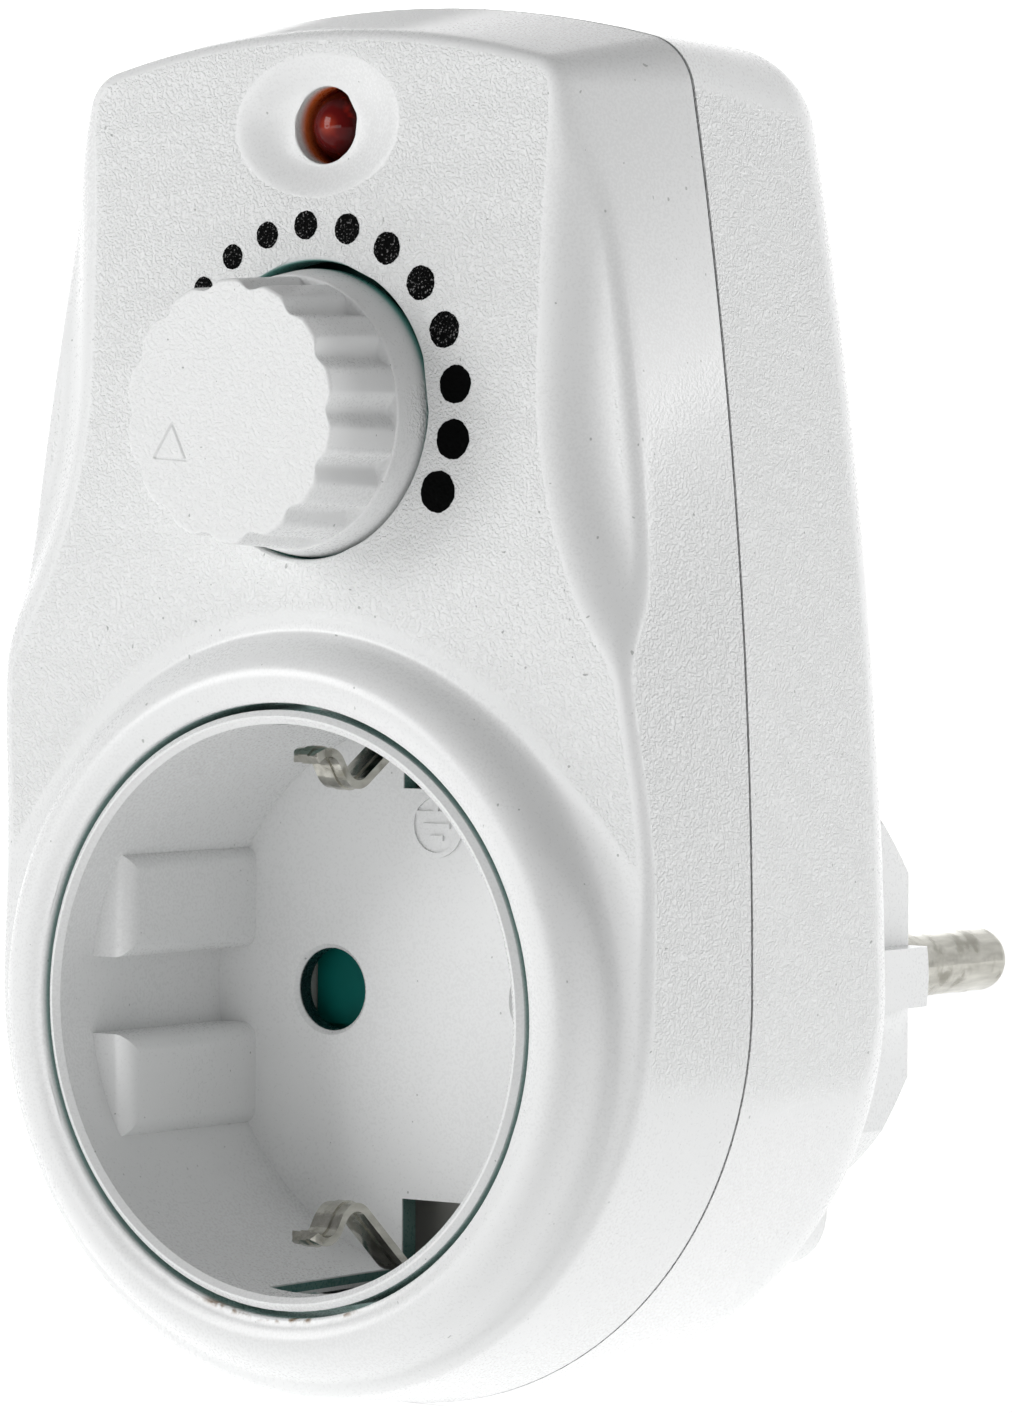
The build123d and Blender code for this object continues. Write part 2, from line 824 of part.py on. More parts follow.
def contact_sleeve(x):
    """A slotted sleeve that grips a plug's pin."""
    with BuildPart() as sleeve:
        with BuildSketch(across(contact_end_y)):
            with Locations((x, 0)):
                Circle(contact_radius)
                Circle(contact_inner, mode=Mode.SUBTRACT)
        extrude(amount=contact_end_y - plate_back_y)
        with BuildSketch(across(tube_end_y)):
            with Locations((x, 0)):
                Rectangle(contact_slot, 2 * contact_radius)
        extrude(amount=carrier_tube_depth, mode=Mode.SUBTRACT)
    return sleeve.part


socket_contact_live = contact_sleeve(pin_x)
socket_contact_live.label = "socket_contact_live"
socket_contact_neutral = contact_sleeve(-pin_x)
socket_contact_neutral.label = "socket_contact_neutral"


def plug_pin(x):
    """A round pin with a rounded tip and a thinner root that is held in the plug's face."""
    with BuildPart() as pin:
        with BuildSketch(across(0)):
            with Locations((x, 0)):
                Circle(pin_radius)
        extrude(amount=-pin_length)
        fillet(pin.faces().sort_by(Axis.Y)[-1].edges(), pin_tip_round)
        with BuildSketch(across(0)):
            with Locations((x, 0)):
                Circle(pin_root_radius)
        extrude(amount=pin_root)
    return pin.part


plug_pin_live = plug_pin(pin_x)
plug_pin_live.label = "plug_pin_live"
plug_pin_neutral = plug_pin(-pin_x)
plug_pin_neutral.label = "plug_pin_neutral"

# Neutral link from the sleeve's tail to the pin's root, beside the plug pin's way in
link_from_x = -pin_x + contact_radius + link_thickness / 2
link_to_x = -pin_x + pin_root_radius + link_thickness / 2
with BuildPart() as neutral_link:
    with BuildSketch(Plane.XY.offset(-link_width / 2)):
        with BuildLine():
            FilletPolyline(
                (link_from_x, tube_end_y + slip),
                (link_from_x, contact_end_y),
                (link_to_x, -pin_root - link_width / 2),
                (link_to_x, -pin_root + link_width),
                radius=link_bend,
            )
        trace(line_width=link_thickness)
    extrude(amount=link_width)
neutral_link.part.label = "neutral_link"


def earth_strip(side):
    """Spring clip in the well, straight leg, and contact strip in the plug's groove."""
    tip_y = mouth_y + clip_tip_depth - strip_thickness / 2
    with BuildSketch() as spoon:
        with Locations((0, tip_y)):
            Rectangle(clip_width, floor_y - tip_y, align=(Align.CENTER, Align.MIN))
        fillet(spoon.vertices().group_by(Axis.Y)[0], clip_tip_round)
    with BuildPart() as strip:
        with BuildSketch(Plane.YZ.offset(-strip_width / 2)):
            with BuildLine():
                clip_line = FilletPolyline(
                    (mouth_y + clip_tip_depth, side * clip_tip + clip_rise),
                    (mouth_y + clip_curl_depth, side * clip_curl + clip_rise),
                    (mouth_y + clip_bump_depth, side * clip_bump + clip_rise),
                    (mouth_y + clip_root_depth, side * strip_leg),
                    (floor_y, side * strip_leg),
                    radius=clip_bend,
                )
                FilletPolyline(
                    (floor_y, side * strip_leg),
                    (-strip_jog_from, side * strip_leg),
                    (-strip_jog_to, side * strip_contact),
                    (-strip_end, side * strip_contact),
                    radius=strip_bend,
                )
            trace(line_width=strip_thickness)
        extrude(amount=strip_width)
        with BuildSketch(Plane.XY.offset(-insert_radius)):
            with Locations((0, mouth_y)):
                Rectangle(strip_width, well_depth, align=(Align.CENTER, Align.MIN))
            add(spoon.sketch, mode=Mode.SUBTRACT)
        extrude(amount=2 * insert_radius, mode=Mode.SUBTRACT)
        with BuildSketch(Plane.YZ.offset(-clip_rib_width / 2)):
            with BuildLine():
                add(clip_line)
            trace(line_width=strip_thickness + 2 * clip_rib)
        extrude(amount=clip_rib_width)
    return strip.part


earth_strip_upper = earth_strip(1)
earth_strip_upper.label = "earth_strip_upper"
earth_strip_lower = earth_strip(-1)
earth_strip_lower.label = "earth_strip_lower"

with BuildPart() as earth_bridge:
    bridge_reach = strip_contact - strip_thickness
    with BuildSketch(Plane.YZ.offset(-strip_width / 2)):
        with BuildLine():
            FilletPolyline(
                (-bridge_tail, bridge_reach),
                (-bridge_y, bridge_reach),
                (-bridge_y, -bridge_reach),
                (-bridge_tail, -bridge_reach),
                radius=strip_thickness,
            )
        trace(line_width=strip_thickness)
    extrude(amount=strip_width)
earth_bridge.part.label = "earth_bridge"

# Knob, shaft and potentiometer
knob_front_y = mouth_y - knob_lead
flange_front_y = mouth_y - flange_lead
knob_back_y = flange_front_y + flange_thickness
shaft_front_y = knob_front_y + shaft_seat
pot_front_y = knob_back_y + pot_gap
shaft_back_y = pot_front_y + shaft_bearing
pointer_angle = dot_turns[0]
knob_axis = Axis((0, 0, knob_height), (0, 1, 0))

with BuildPart() as dimmer_knob:
    with BuildSketch(Plane.XY.offset(knob_height)):
        with BuildLine():
            Polyline(
                (0, knob_front_y),
                (grip_radius - grip_round, knob_front_y),
                (grip_radius, knob_front_y + grip_round),
                (grip_root_radius, flange_front_y),
                (flange_radius - grip_round, flange_front_y),
                (flange_radius, flange_front_y + grip_round),
                (flange_radius, knob_back_y),
                (grip_radius - knob_shell, knob_back_y),
                (grip_radius - knob_shell, knob_front_y + knob_shell),
                (knob_boss_radius, knob_front_y + knob_shell),
                (knob_boss_radius, knob_back_y),
                (0, knob_back_y),
                close=True,
            )
        make_face()
    revolve(axis=knob_axis)
    with BuildSketch(across(flange_front_y)):
        with Locations((0, knob_height)):
            with PolarLocations(
                grip_root_radius - flute_depth + flute_radius,
                flute_count,
                start_angle=pointer_angle,
            ):
                Circle(flute_radius)
    extrude(amount=knob_lead + flange_lead + flute_depth, mode=Mode.SUBTRACT)
    with BuildSketch(across(knob_back_y)):
        with Locations((0, knob_height)):
            Circle(shaft_radius)
            with Locations((0, shaft_flat)):
                Rectangle(
                    2 * shaft_radius,
                    shaft_radius,
                    align=(Align.CENTER, Align.MIN),
                    mode=Mode.SUBTRACT,
                )
    extrude(amount=knob_back_y - shaft_front_y, mode=Mode.SUBTRACT)
    pointer_x = pointer_circle * math.cos(math.radians(pointer_angle))
    pointer_z = knob_height + pointer_circle * math.sin(math.radians(pointer_angle))
    with BuildSketch(across(knob_front_y)):
        with Locations((pointer_x, pointer_z)):
            RegularPolygon(pointer_side / math.sqrt(3), 3, rotation=pointer_angle)
            RegularPolygon(
                pointer_side / math.sqrt(3) - 2 * pointer_line,
                3,
                rotation=pointer_angle,
                mode=Mode.SUBTRACT,
            )
    extrude(amount=-pointer_depth, mode=Mode.SUBTRACT)
dimmer_knob.part.label = "dimmer_knob"

with BuildPart() as potentiometer_shaft:
    with BuildSketch(across(shaft_back_y)):
        with Locations((0, knob_height)):
            Circle(shaft_radius)
    extrude(amount=shaft_back_y - shaft_front_y)
    with BuildSketch(across(knob_back_y)):
        with Locations((0, knob_height + shaft_flat)):
            Rectangle(2 * shaft_radius, shaft_radius, align=(Align.CENTER, Align.MIN))
    extrude(amount=knob_back_y - shaft_front_y, mode=Mode.SUBTRACT)
potentiometer_shaft.part.label = "potentiometer_shaft"

with BuildPart() as dimmer_potentiometer:
    with BuildSketch(across(board_front_y)):
        with Locations((0, knob_height)):
            Circle(pot_radius)
    extrude(amount=board_front_y - pot_front_y)
    with BuildSketch(across(shaft_back_y + part_gap)):
        with Locations((0, knob_height)):
            Circle(shaft_radius + run_gap)
    extrude(amount=shaft_back_y + part_gap - pot_front_y, mode=Mode.SUBTRACT)
dimmer_potentiometer.part.label = "dimmer_potentiometer"

# Lamp
with BuildPart() as indicator_lamp:
    with BuildSketch(Plane.XY.offset(lamp_height)):
        with BuildLine():
            Polyline(
                (lamp_radius, lamp_tip_y + lamp_radius),
                (lamp_radius, board_front_y - lamp_foot),
                (lamp_foot_radius, board_front_y - lamp_foot),
                (lamp_foot_radius, board_front_y),
                (0, board_front_y),
                (0, lamp_tip_y),
            )
            CenterArc((0, lamp_tip_y + lamp_radius), lamp_radius, 270, 90)
        make_face()
    revolve(axis=Axis((0, 0, lamp_height), (0, 1, 0)))
indicator_lamp.part.label = "indicator_lamp"

with BuildPart() as lamp_leads:
    with BuildSketch(across(board_back_y + board_lead)):
        with Locations((0, lamp_height)):
            with GridLocations(lead_spacing, 0, 2, 1):
                Circle(lead_radius)
    extrude(amount=board_back_y + board_lead - board_front_y)
lamp_leads.part.label = "lamp_leads"

# Circuit board
with BuildPart() as circuit_board:
    with BuildSketch(across(board_back_y)):
        with Locations((0, board_foot)):
            Rectangle(
                2 * board_half_width, board_shoulder - board_foot, align=(Align.CENTER, Align.MIN)
            )
            Rectangle(
                2 * board_neck_half_width, board_top - board_foot, align=(Align.CENTER, Align.MIN)
            )
        with Locations((0, lamp_height)):
            with GridLocations(lead_spacing, 0, 2, 1):
                Circle(lead_radius, mode=Mode.SUBTRACT)
        with Locations((-board_screw_x, board_screw_z), (board_screw_x, board_screw_z)):
            Circle(board_screw_radius, mode=Mode.SUBTRACT)
    extrude(amount=board_thickness)
circuit_board.part.label = "circuit_board"

# Choke, capacitor, triac and heat sink
choke_y = board_back_y + choke_core_radius + 2 * choke_wire + slip
with BuildPart() as choke_core:
    with BuildSketch(Plane.XY.offset(choke_foot)):
        with Locations((choke_x, choke_y)):
            Circle(choke_core_radius)
    extrude(amount=choke_length)
choke_core.part.label = "choke_core"

choke_coil_foot = choke_foot + (choke_length - choke_turns * choke_pitch) / 2
with BuildPart() as choke_winding:
    with BuildLine(Plane(origin=(choke_x, choke_y, choke_coil_foot))) as winding_path:
        for start, middle, end in half_turns(
            choke_core_radius + choke_wire + slip, choke_pitch, choke_turns
        ):
            ThreePointArc(start, middle, end)
    with BuildSketch(Plane(origin=winding_path.line @ 0, z_dir=winding_path.line % 0)):
        Circle(choke_wire)
    sweep()
choke_winding.part.label = "choke_winding"

with BuildPart() as film_capacitor:
    with BuildSketch(across(board_back_y + capacitor_depth)) as capacitor_face:
        with Locations((capacitor_x, capacitor_foot)):
            Rectangle(capacitor_width, capacitor_height, align=(Align.CENTER, Align.MIN))
        fillet(capacitor_face.vertices(), capacitor_round)
    extrude(amount=capacitor_depth)
film_capacitor.part.label = "film_capacitor"

sink_x = triac_x + triac_thickness
triac_front_y = board_back_y + triac_standoff
triac_middle = triac_foot + triac_width / 2
with BuildPart() as triac:
    with BuildSketch(across(triac_front_y + triac_body)):
        with Locations((triac_x, triac_foot)):
            Rectangle(triac_thickness, triac_width, align=(Align.MIN, Align.MIN))
    extrude(amount=triac_body)
    with BuildSketch(across(triac_front_y + triac_body + triac_tab)):
        with Locations((sink_x, triac_foot)):
            Rectangle(triac_tab_thickness, triac_width, align=(Align.MAX, Align.MIN))
    extrude(amount=triac_tab)
    with BuildSketch(Plane.YZ.offset(sink_x)):
        with Locations((triac_front_y + triac_body + triac_tab / 2, triac_middle)):
            Circle(triac_tab_hole)
    extrude(amount=-triac_tab_thickness, mode=Mode.SUBTRACT)
    with BuildSketch(across(triac_front_y)):
        with Locations((triac_x + triac_thickness / 2, triac_middle)):
            with GridLocations(0, triac_lead_spacing, 1, 3):
                Rectangle(triac_lead_thickness, triac_lead_width)
    extrude(amount=triac_standoff)
triac.part.label = "triac"

with BuildPart() as heat_sink:
    with BuildSketch(across(board_back_y + sink_depth)):
        with Locations((sink_x, sink_foot)):
            Rectangle(sink_thickness, sink_height, align=(Align.MIN, Align.MIN))
        for index in range(sink_fins):
            fin_step = (sink_height - sink_fin_thickness) / (sink_fins - 1)
            with Locations((sink_x + sink_thickness, sink_foot + index * fin_step)):
                Rectangle(sink_fin_length, sink_fin_thickness, align=(Align.MIN, Align.MIN))
    extrude(amount=sink_depth)
heat_sink.part.label = "heat_sink"

# Fuse, its caps and clips
fuse_y = board_back_y + fuse_rise
fuse_caps_at = [fuse_foot, fuse_foot + fuse_length - fuse_cap_length]
with BuildPart() as fuse:
    with BuildSketch(Plane.XY.offset(fuse_foot + clip_cover)):
        with Locations((fuse_x, fuse_y)):
            Circle(fuse_glass_radius)
    extrude(amount=fuse_length - 2 * clip_cover)
fuse.part.label = "fuse"

with BuildPart() as fuse_caps:
    for foot in fuse_caps_at:
        with BuildSketch(Plane.XY.offset(foot)):
            with Locations((fuse_x, fuse_y)):
                Circle(fuse_radius)
        extrude(amount=fuse_cap_length)
    with BuildSketch(Plane.XY.offset(fuse_foot + clip_cover)):
        with Locations((fuse_x, fuse_y)):
            Circle(fuse_glass_radius)
    extrude(amount=fuse_length - 2 * clip_cover, mode=Mode.SUBTRACT)
fuse_caps.part.label = "fuse_caps"

with BuildPart() as fuse_clips:
    for foot in fuse_caps_at:
        with BuildSketch(Plane.XY.offset(foot + clip_arm)):
            with Locations((fuse_x, board_back_y)):
                Rectangle(
                    2 * (fuse_radius + clip_arm), fuse_rise, align=(Align.CENTER, Align.MIN)
                )
            with Locations((fuse_x, fuse_y)):
                Circle(fuse_radius, mode=Mode.SUBTRACT)
            with Locations((fuse_x, board_back_y + clip_arm)):
                Rectangle(
                    2 * fuse_radius,
                    fuse_rise - clip_arm,
                    align=(Align.CENTER, Align.MIN),
                    mode=Mode.SUBTRACT,
                )
        extrude(amount=clip_length)
fuse_clips.part.label = "fuse_clips"


def axial_part(x, foot, length, radius):
    """A body along Z whose two leads bend down into the board."""
    rise_y = board_back_y + radius
    with BuildPart() as body:
        with BuildSketch(Plane.XY.offset(foot)):
            with Locations((x, rise_y)):
                Circle(radius)
        extrude(amount=length)
    leads = []
    for start, way in ((foot, -1), (foot + length, 1)):
        with BuildPart() as lead:
            with BuildLine() as route:
                FilletPolyline(
                    (x, rise_y, start),
                    (x, rise_y, start + way * axial_reach),
                    (x, board_back_y, start + way * axial_reach),
                    radius=radius / 2,
                )
            with BuildSketch(Plane(origin=route.line @ 0, z_dir=route.line % 0)):
                Circle(lead_radius)
            sweep()
        leads.append(lead.part)
    return body.part + leads


resistors = Part() + [
    axial_part(x, axial_foot, axial_length, axial_radius) for x in resistor_places
]
resistors.label = "resistors"
diac = axial_part(diac_place, diac_foot, diac_length, diac_radius)
diac.label = "diac"


def wire(points):
    """A wire along straight runs with round bends."""
    with BuildPart() as run:
        with BuildLine() as route:
            FilletPolyline(*points, radius=wire_bend)
        with BuildSketch(Plane(origin=route.line @ 0, z_dir=route.line % 0)):
            Circle(wire_radius)
        sweep()
    return run.part


tail_y = contact_end_y - wire_radius
live_wire = wire(
    [
        (pin_x, -pin_root, 0),
        (pin_x, -pin_root - 2 * wire_bend, 0),
        (pin_x, -pin_root - 2 * wire_bend, wire_rise),
        (pin_x, -wire_run_y, wire_rise),
        (pin_x, -wire_run_y, wire_landing),
        (pin_x, board_back_y, wire_landing),
    ]
)
live_wire.label = "live_wire"
load_wire = wire(
    [
        (load_wire_x, tail_y, -wire_start),
        (load_wire_x, tail_y, wire_rise),
        (load_wire_x, -wire_run_y, wire_rise),
        (load_wire_x, -wire_run_y, wire_landing),
        (load_wire_x, board_back_y, wire_landing),
    ]
)
load_wire.label = "load_wire"
neutral_wire = wire(
    [
        (neutral_wire_x, tail_y, -wire_start),
        (neutral_wire_x, tail_y, wire_rise),
        (neutral_wire_x, -wire_run_y, wire_rise),
        (neutral_wire_x, -wire_run_y, wire_landing),
        (neutral_wire_x, board_back_y, wire_landing),
    ]
)
neutral_wire.label = "neutral_wire"

# Screws
with BuildPart() as housing_screws:
    with BuildSketch(across(head_seat_y + screw_head)):
        with Locations(*housing_screw_places):
            Circle(screw_head_radius)
    extrude(amount=screw_head)
    with BuildSketch(across(head_seat_y)):
        with Locations(*housing_screw_places):
            Circle(screw_radius)
    extrude(amount=screw_seat + screw_grip)
    with BuildSketch(across(head_seat_y + screw_head)):
        with Locations(*housing_screw_places):
            Rectangle(screw_head_radius, screw_slot_width)
            Rectangle(screw_slot_width, screw_head_radius)
    extrude(amount=screw_slot_depth, mode=Mode.SUBTRACT)
housing_screws.part.label = "housing_screws"

with BuildPart() as board_screws:
    with BuildSketch(across(board_back_y + board_screw_head)):
        with Locations((-board_screw_x, board_screw_z), (board_screw_x, board_screw_z)):
            Circle(board_screw_head_radius)
    extrude(amount=board_screw_head)
    with BuildSketch(across(board_back_y)):
        with Locations((-board_screw_x, board_screw_z), (board_screw_x, board_screw_z)):
            Circle(board_screw_radius)
    extrude(amount=board_thickness + board_screw_grip)
    with BuildSketch(across(board_back_y + board_screw_head)):
        with Locations((-board_screw_x, board_screw_z), (board_screw_x, board_screw_z)):
            Rectangle(board_screw_head_radius, screw_slot_width / 2)
            Rectangle(screw_slot_width / 2, board_screw_head_radius)
    extrude(amount=board_screw_head / 2, mode=Mode.SUBTRACT)
board_screws.part.label = "board_screws"

pieces = [
    front_cover.part,
    scale_dots.part,
    rear_cover.part,
    socket_insert.part,
    contact_carrier.part,
    safety_shutter.part,
    shutter_spring.part,
    socket_contact_live,
    socket_contact_neutral,
    plug_pin_live,
    plug_pin_neutral,
    neutral_link.part,
    earth_strip_upper,
    earth_strip_lower,
    earth_bridge.part,
    dimmer_knob.part,
    potentiometer_shaft.part,
    dimmer_potentiometer.part,
    indicator_lamp.part,
    lamp_leads.part,
    circuit_board.part,
    choke_core.part,
    choke_winding.part,
    film_capacitor.part,
    triac.part,
    heat_sink.part,
    fuse.part,
    fuse_caps.part,
    fuse_clips.part,
    resistors,
    diac,
    live_wire,
    load_wire,
    neutral_wire,
    housing_screws.part,
    board_screws.part,
]

os.makedirs("parts", exist_ok=True)
for piece in pieces:
    export_step(piece, f"parts/{piece.label}.step")
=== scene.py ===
import json
import math

import bmesh
import bpy
from mathutils import Matrix, Vector
from mathutils.geometry import delaunay_2d_cdt


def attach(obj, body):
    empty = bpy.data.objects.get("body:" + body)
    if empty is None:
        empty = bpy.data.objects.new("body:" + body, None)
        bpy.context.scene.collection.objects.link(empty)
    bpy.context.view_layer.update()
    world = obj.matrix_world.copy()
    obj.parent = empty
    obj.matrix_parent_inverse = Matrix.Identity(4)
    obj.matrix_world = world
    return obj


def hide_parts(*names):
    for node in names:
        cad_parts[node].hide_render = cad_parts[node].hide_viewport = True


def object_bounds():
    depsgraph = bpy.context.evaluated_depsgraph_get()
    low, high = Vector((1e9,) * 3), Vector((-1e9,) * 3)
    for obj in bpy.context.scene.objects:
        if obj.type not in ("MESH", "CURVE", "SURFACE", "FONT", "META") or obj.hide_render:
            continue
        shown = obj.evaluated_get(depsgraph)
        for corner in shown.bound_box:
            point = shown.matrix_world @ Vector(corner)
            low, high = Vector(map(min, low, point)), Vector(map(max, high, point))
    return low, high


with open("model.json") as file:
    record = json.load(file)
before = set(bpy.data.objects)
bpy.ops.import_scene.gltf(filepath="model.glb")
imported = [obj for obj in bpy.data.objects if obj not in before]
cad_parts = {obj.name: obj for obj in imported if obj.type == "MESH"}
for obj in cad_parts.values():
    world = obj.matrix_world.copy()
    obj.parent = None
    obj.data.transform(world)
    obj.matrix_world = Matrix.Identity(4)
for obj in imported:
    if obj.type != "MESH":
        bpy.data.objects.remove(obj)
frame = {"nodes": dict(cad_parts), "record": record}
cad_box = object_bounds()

MM = 0.001
WELD = 0.0000005
# How near two points of a flat drawing in millimetres are joined
JOIN_REACH = 1e-5

# The photograph's camera: its place, its axes and its lens
CAMERA_PLACE = (0.27351, -0.40547, 0.03425)
CAMERA_RIGHT = (0.8095, 0.5872, 0.0043)
CAMERA_UP = (-0.0210, 0.0215, 0.9995)
CAMERA_BACK = (0.5868, -0.8092, 0.0297)
CAMERA_LENS = 166.2
CAMERA_SHIFT = (-0.01143, -0.00303)
SENSOR_WIDTH, CLIP_START = 36, 0.01
FLOOR_Z = cad_box[0][2]

# Places that textures, the smudge, the painted glow and the painted shade follow: metres on the
# object, each pair from none to full
LAMP_Z, DIAL_Z, PIN_X = 0.0604, 0.0409, 0.0095
DIMPLE_HALVES = (0.0061, 0.0045)
LAMP_RIM_Y = -0.0515
IN_FRONT = (-0.0480, -0.0485)
BEFORE_CARRIER = (-0.0345, -0.0350)
OUT_OF_COLLAR = (0.0262, 0.0280)
KNOB_REACH = (-0.0530, -0.0560)
SMUDGE_INNER, SMUDGE_OUTER = (0.0206, 0.0209), (0.0214, 0.0211)
SMUDGE_LOW = (-0.0198, -0.0204)
LAMP_BORE = (0.00285, 0.0027)
LAMP_GLOW = (LAMP_RIM_Y + 0.0003, LAMP_RIM_Y + 0.0013)
LAMP_DEEP = (LAMP_RIM_Y + 0.0008, LAMP_RIM_Y + 0.0026)
KNOB_GAP, KNOB_GAP_DEPTH = (0.01035, 0.01022), (-0.0532, -0.0526)
COLLAR_GAP_INNER, COLLAR_GAP_OUTER = (0.02035, 0.02048), (0.02115, 0.02102)
COLLAR_GAP_DEPTH = (-0.0562, -0.0558)
SLOT_WIDTH = (0.00312, 0.00306)
SLOT_WALL_INNER, SLOT_WALL_OUTER = (0.01962, 0.01968), (0.02025, 0.0202)
FLOOR_SLOT_DEPTH, FLOOR_SLOT_START = (-0.03835, -0.0382), (0.0143, 0.0144)
PIN_BORE, PIN_BORE_DEPTH = (0.00304, 0.00299), (-0.0382, -0.0379)
IN_WELL = (0.0205, 0.0204)

# Limits on how a surface is turned, as parts of its normal
NEARLY_FORWARD, NEARLY_SIDEWAYS, ALONG_AN_AXIS = (0.12, 0.05), (0.93, 0.97), (0.955, 0.985)
TURNED_ASIDE, TURNED_FROM_FRONT = (0.75, 0.45), (0.6, 0.4)

# Noise scales per metre: the white's grain, its waves, clouds and specks, and the dirt's
PEBBLES, FINE_GRAIN, WAVES, CLOUDS, SPECKS, DIRT = 4800, 5200, 420, 70, 2600, 900
LENS_SWIRLS, PRINT_GAPS, PRINT_WAVES = 900, 6500, 2700
STREAKS, STREAK_STRETCH, DULL_PATCHES, SHUTTER_CLOUDS = 1600, (1.0, 0.15, 1.0), 500, 300
# Shares of the grain in the lamp's dimple and on the knob's face, and the rest of the white
DIMPLE_GRAIN, DIMPLE_EDGE, KNOB_GRAIN = 0.3, (0.6, 1.15), 0.5
WAVE_SHARE, FINE_SHARE, TONE_SWING, SPECK_SHARE = 0.2, 0.06, 0.12, 0.6
SMOOTH_ROUGHNESS, GRAINED_ROUGHNESS = 0.28, 0.48
# How strongly the painted shade is laid in the gaps and slots, and how far the ink is worn between
# two heights
COLLAR_GAP_SHARE, SLOT_SHARE, WEAR_SHARE, WEAR_HEIGHT = 0.8, 0.95, 0.35, (0.0435, 0.0455)

# Colours, and the height of the moulded grain in metres
WHITE = (0.795, 0.802, 0.801)
WHITE_LOW, WHITE_HIGH = tuple(c * 0.96 for c in WHITE), tuple(c * 1.03 for c in WHITE)
SPECK, SMUDGE = (0.22, 0.23, 0.22), (0.24, 0.17, 0.11)
# Painted glow: red light from the lens, painted on the wall of the lamp's hole
GLOW, GLOW_DEEP = (1.0, 0.22, 0.05), (0.35, 0.015, 0.008)
# Painted shade: teal and near-black colours laid in the gap round the knob, the collar's gap, the
# pin bores and the slots
KNOB_GAP_SHADE, COLLAR_GAP_SHADE = (0.22, 0.52, 0.47), (0.25, 0.42, 0.39)
BORE_SHADE, SLOT_SHADE = (0.01, 0.02, 0.02), (0.08, 0.20, 0.18)
# The lens: painted light in its middle, where light comes through the clear dome, and painted shade
# at its near-black rim
LENS_LIT_MIDDLE, LENS_BODY = (0.28, 0.03, 0.015), (0.10, 0.003, 0.003)
LENS_SHADED_RIM, LENS_SWIRL = (0.015, 0.0006, 0.0006), (0.28, 0.012, 0.006)
INK, BARE_GRAIN = (0.0006, 0.0008, 0.0008), (0.5, 0.5, 0.5)
# Nickel: the dark and bright streak colours are painted reflections
NICKEL_DARK_REFLECTION, NICKEL_BRIGHT_REFLECTION, NICKEL_DULL = (0.26, 0.25, 0.21), (0.78, 0.77, 0.71), (0.20, 0.19, 0.15)
# Shutter: deep teal painted shade for the shutter lying in shadow behind the pin hole
SHADED_SHUTTER_DARK, SHADED_SHUTTER_LIGHT = (0.0, 0.11, 0.093), (0.0, 0.15, 0.13)
GRAIN_HEIGHT = 0.00006
GLOSS_SWING, MIN_ROUGHNESS = 0.05, 0.02


def new_material(name):
    """An empty node material with its shader and output joined."""
    made = bpy.data.materials.new(name)
    made.use_nodes = True
    nodes = made.node_tree.nodes
    nodes.clear()
    shader = nodes.new("ShaderNodeBsdfPrincipled")
    output = nodes.new("ShaderNodeOutputMaterial")
    made.node_tree.links.new(shader.outputs["BSDF"], output.inputs["Surface"])
    return made, nodes, made.node_tree.links, shader


def surface(name, colour, rough, mottle=0.03, mottle_scale=60.0, metal=0.0, through=0.0):
    """A plain finish whose colour and gloss vary a little."""
    made, nodes, links, shader = new_material(name)
    place = nodes.new("ShaderNodeTexCoord")
    clouds = nodes.new("ShaderNodeTexNoise")
    clouds.inputs["Scale"].default_value = mottle_scale
    clouds.inputs["Detail"].default_value = 3.0
    links.new(place.outputs["Object"], clouds.inputs["Vector"])
    tint = nodes.new("ShaderNodeValToRGB")
    tint.color_ramp.elements[0].position = 0.3
    tint.color_ramp.elements[1].position = 0.7
    tint.color_ramp.elements[0].color = [c * (1 - mottle) for c in colour] + [1]
    tint.color_ramp.elements[1].color = [min(c * (1 + mottle), 1) for c in colour] + [1]
    links.new(clouds.outputs["Fac"], tint.inputs["Fac"])
    links.new(tint.outputs["Color"], shader.inputs["Base Color"])
    gloss = nodes.new("ShaderNodeMapRange")
    gloss.inputs["To Min"].default_value = max(rough - GLOSS_SWING, MIN_ROUGHNESS)
    gloss.inputs["To Max"].default_value = rough + GLOSS_SWING
    links.new(clouds.outputs["Fac"], gloss.inputs["Value"])
    links.new(gloss.outputs["Result"], shader.inputs["Roughness"])
    shader.inputs["Metallic"].default_value = metal
    shader.inputs["Transmission Weight"].default_value = through
    return made


def calc(made, operation, *values):
    """The output of a maths node fed with numbers or other outputs."""
    node = made.node_tree.nodes.new("ShaderNodeMath")
    node.operation = operation
    for slot, value in zip(node.inputs, values):
        if isinstance(value, (int, float)):
            slot.default_value = value
        else:
            made.node_tree.links.new(value, slot)
    return node.outputs["Value"]


def product(made, *factors):
    """Numbers or outputs multiplied together."""
    result = factors[0]
    for factor in factors[1:]:
        result = calc(made, "MULTIPLY", result, factor)
    return result


def band(made, value, start, end, low=0.0, high=1.0):
    """Goes smoothly from low to high while the value goes from start to end."""
    node = made.node_tree.nodes.new("ShaderNodeMapRange")
    node.interpolation_type = "SMOOTHSTEP"
    made.node_tree.links.new(value, node.inputs["Value"])
    node.inputs["From Min"].default_value = start
    node.inputs["From Max"].default_value = end
    node.inputs["To Min"].default_value = low
    node.inputs["To Max"].default_value = high
    return node.outputs["Result"]


def noise(made, place, scale, detail=2.0):
    """Noise at a scale per metre, about a half on average."""
    node = made.node_tree.nodes.new("ShaderNodeTexNoise")
    made.node_tree.links.new(place, node.inputs["Vector"])
    node.inputs["Scale"].default_value = scale
    node.inputs["Detail"].default_value = detail
    return node.outputs["Fac"]


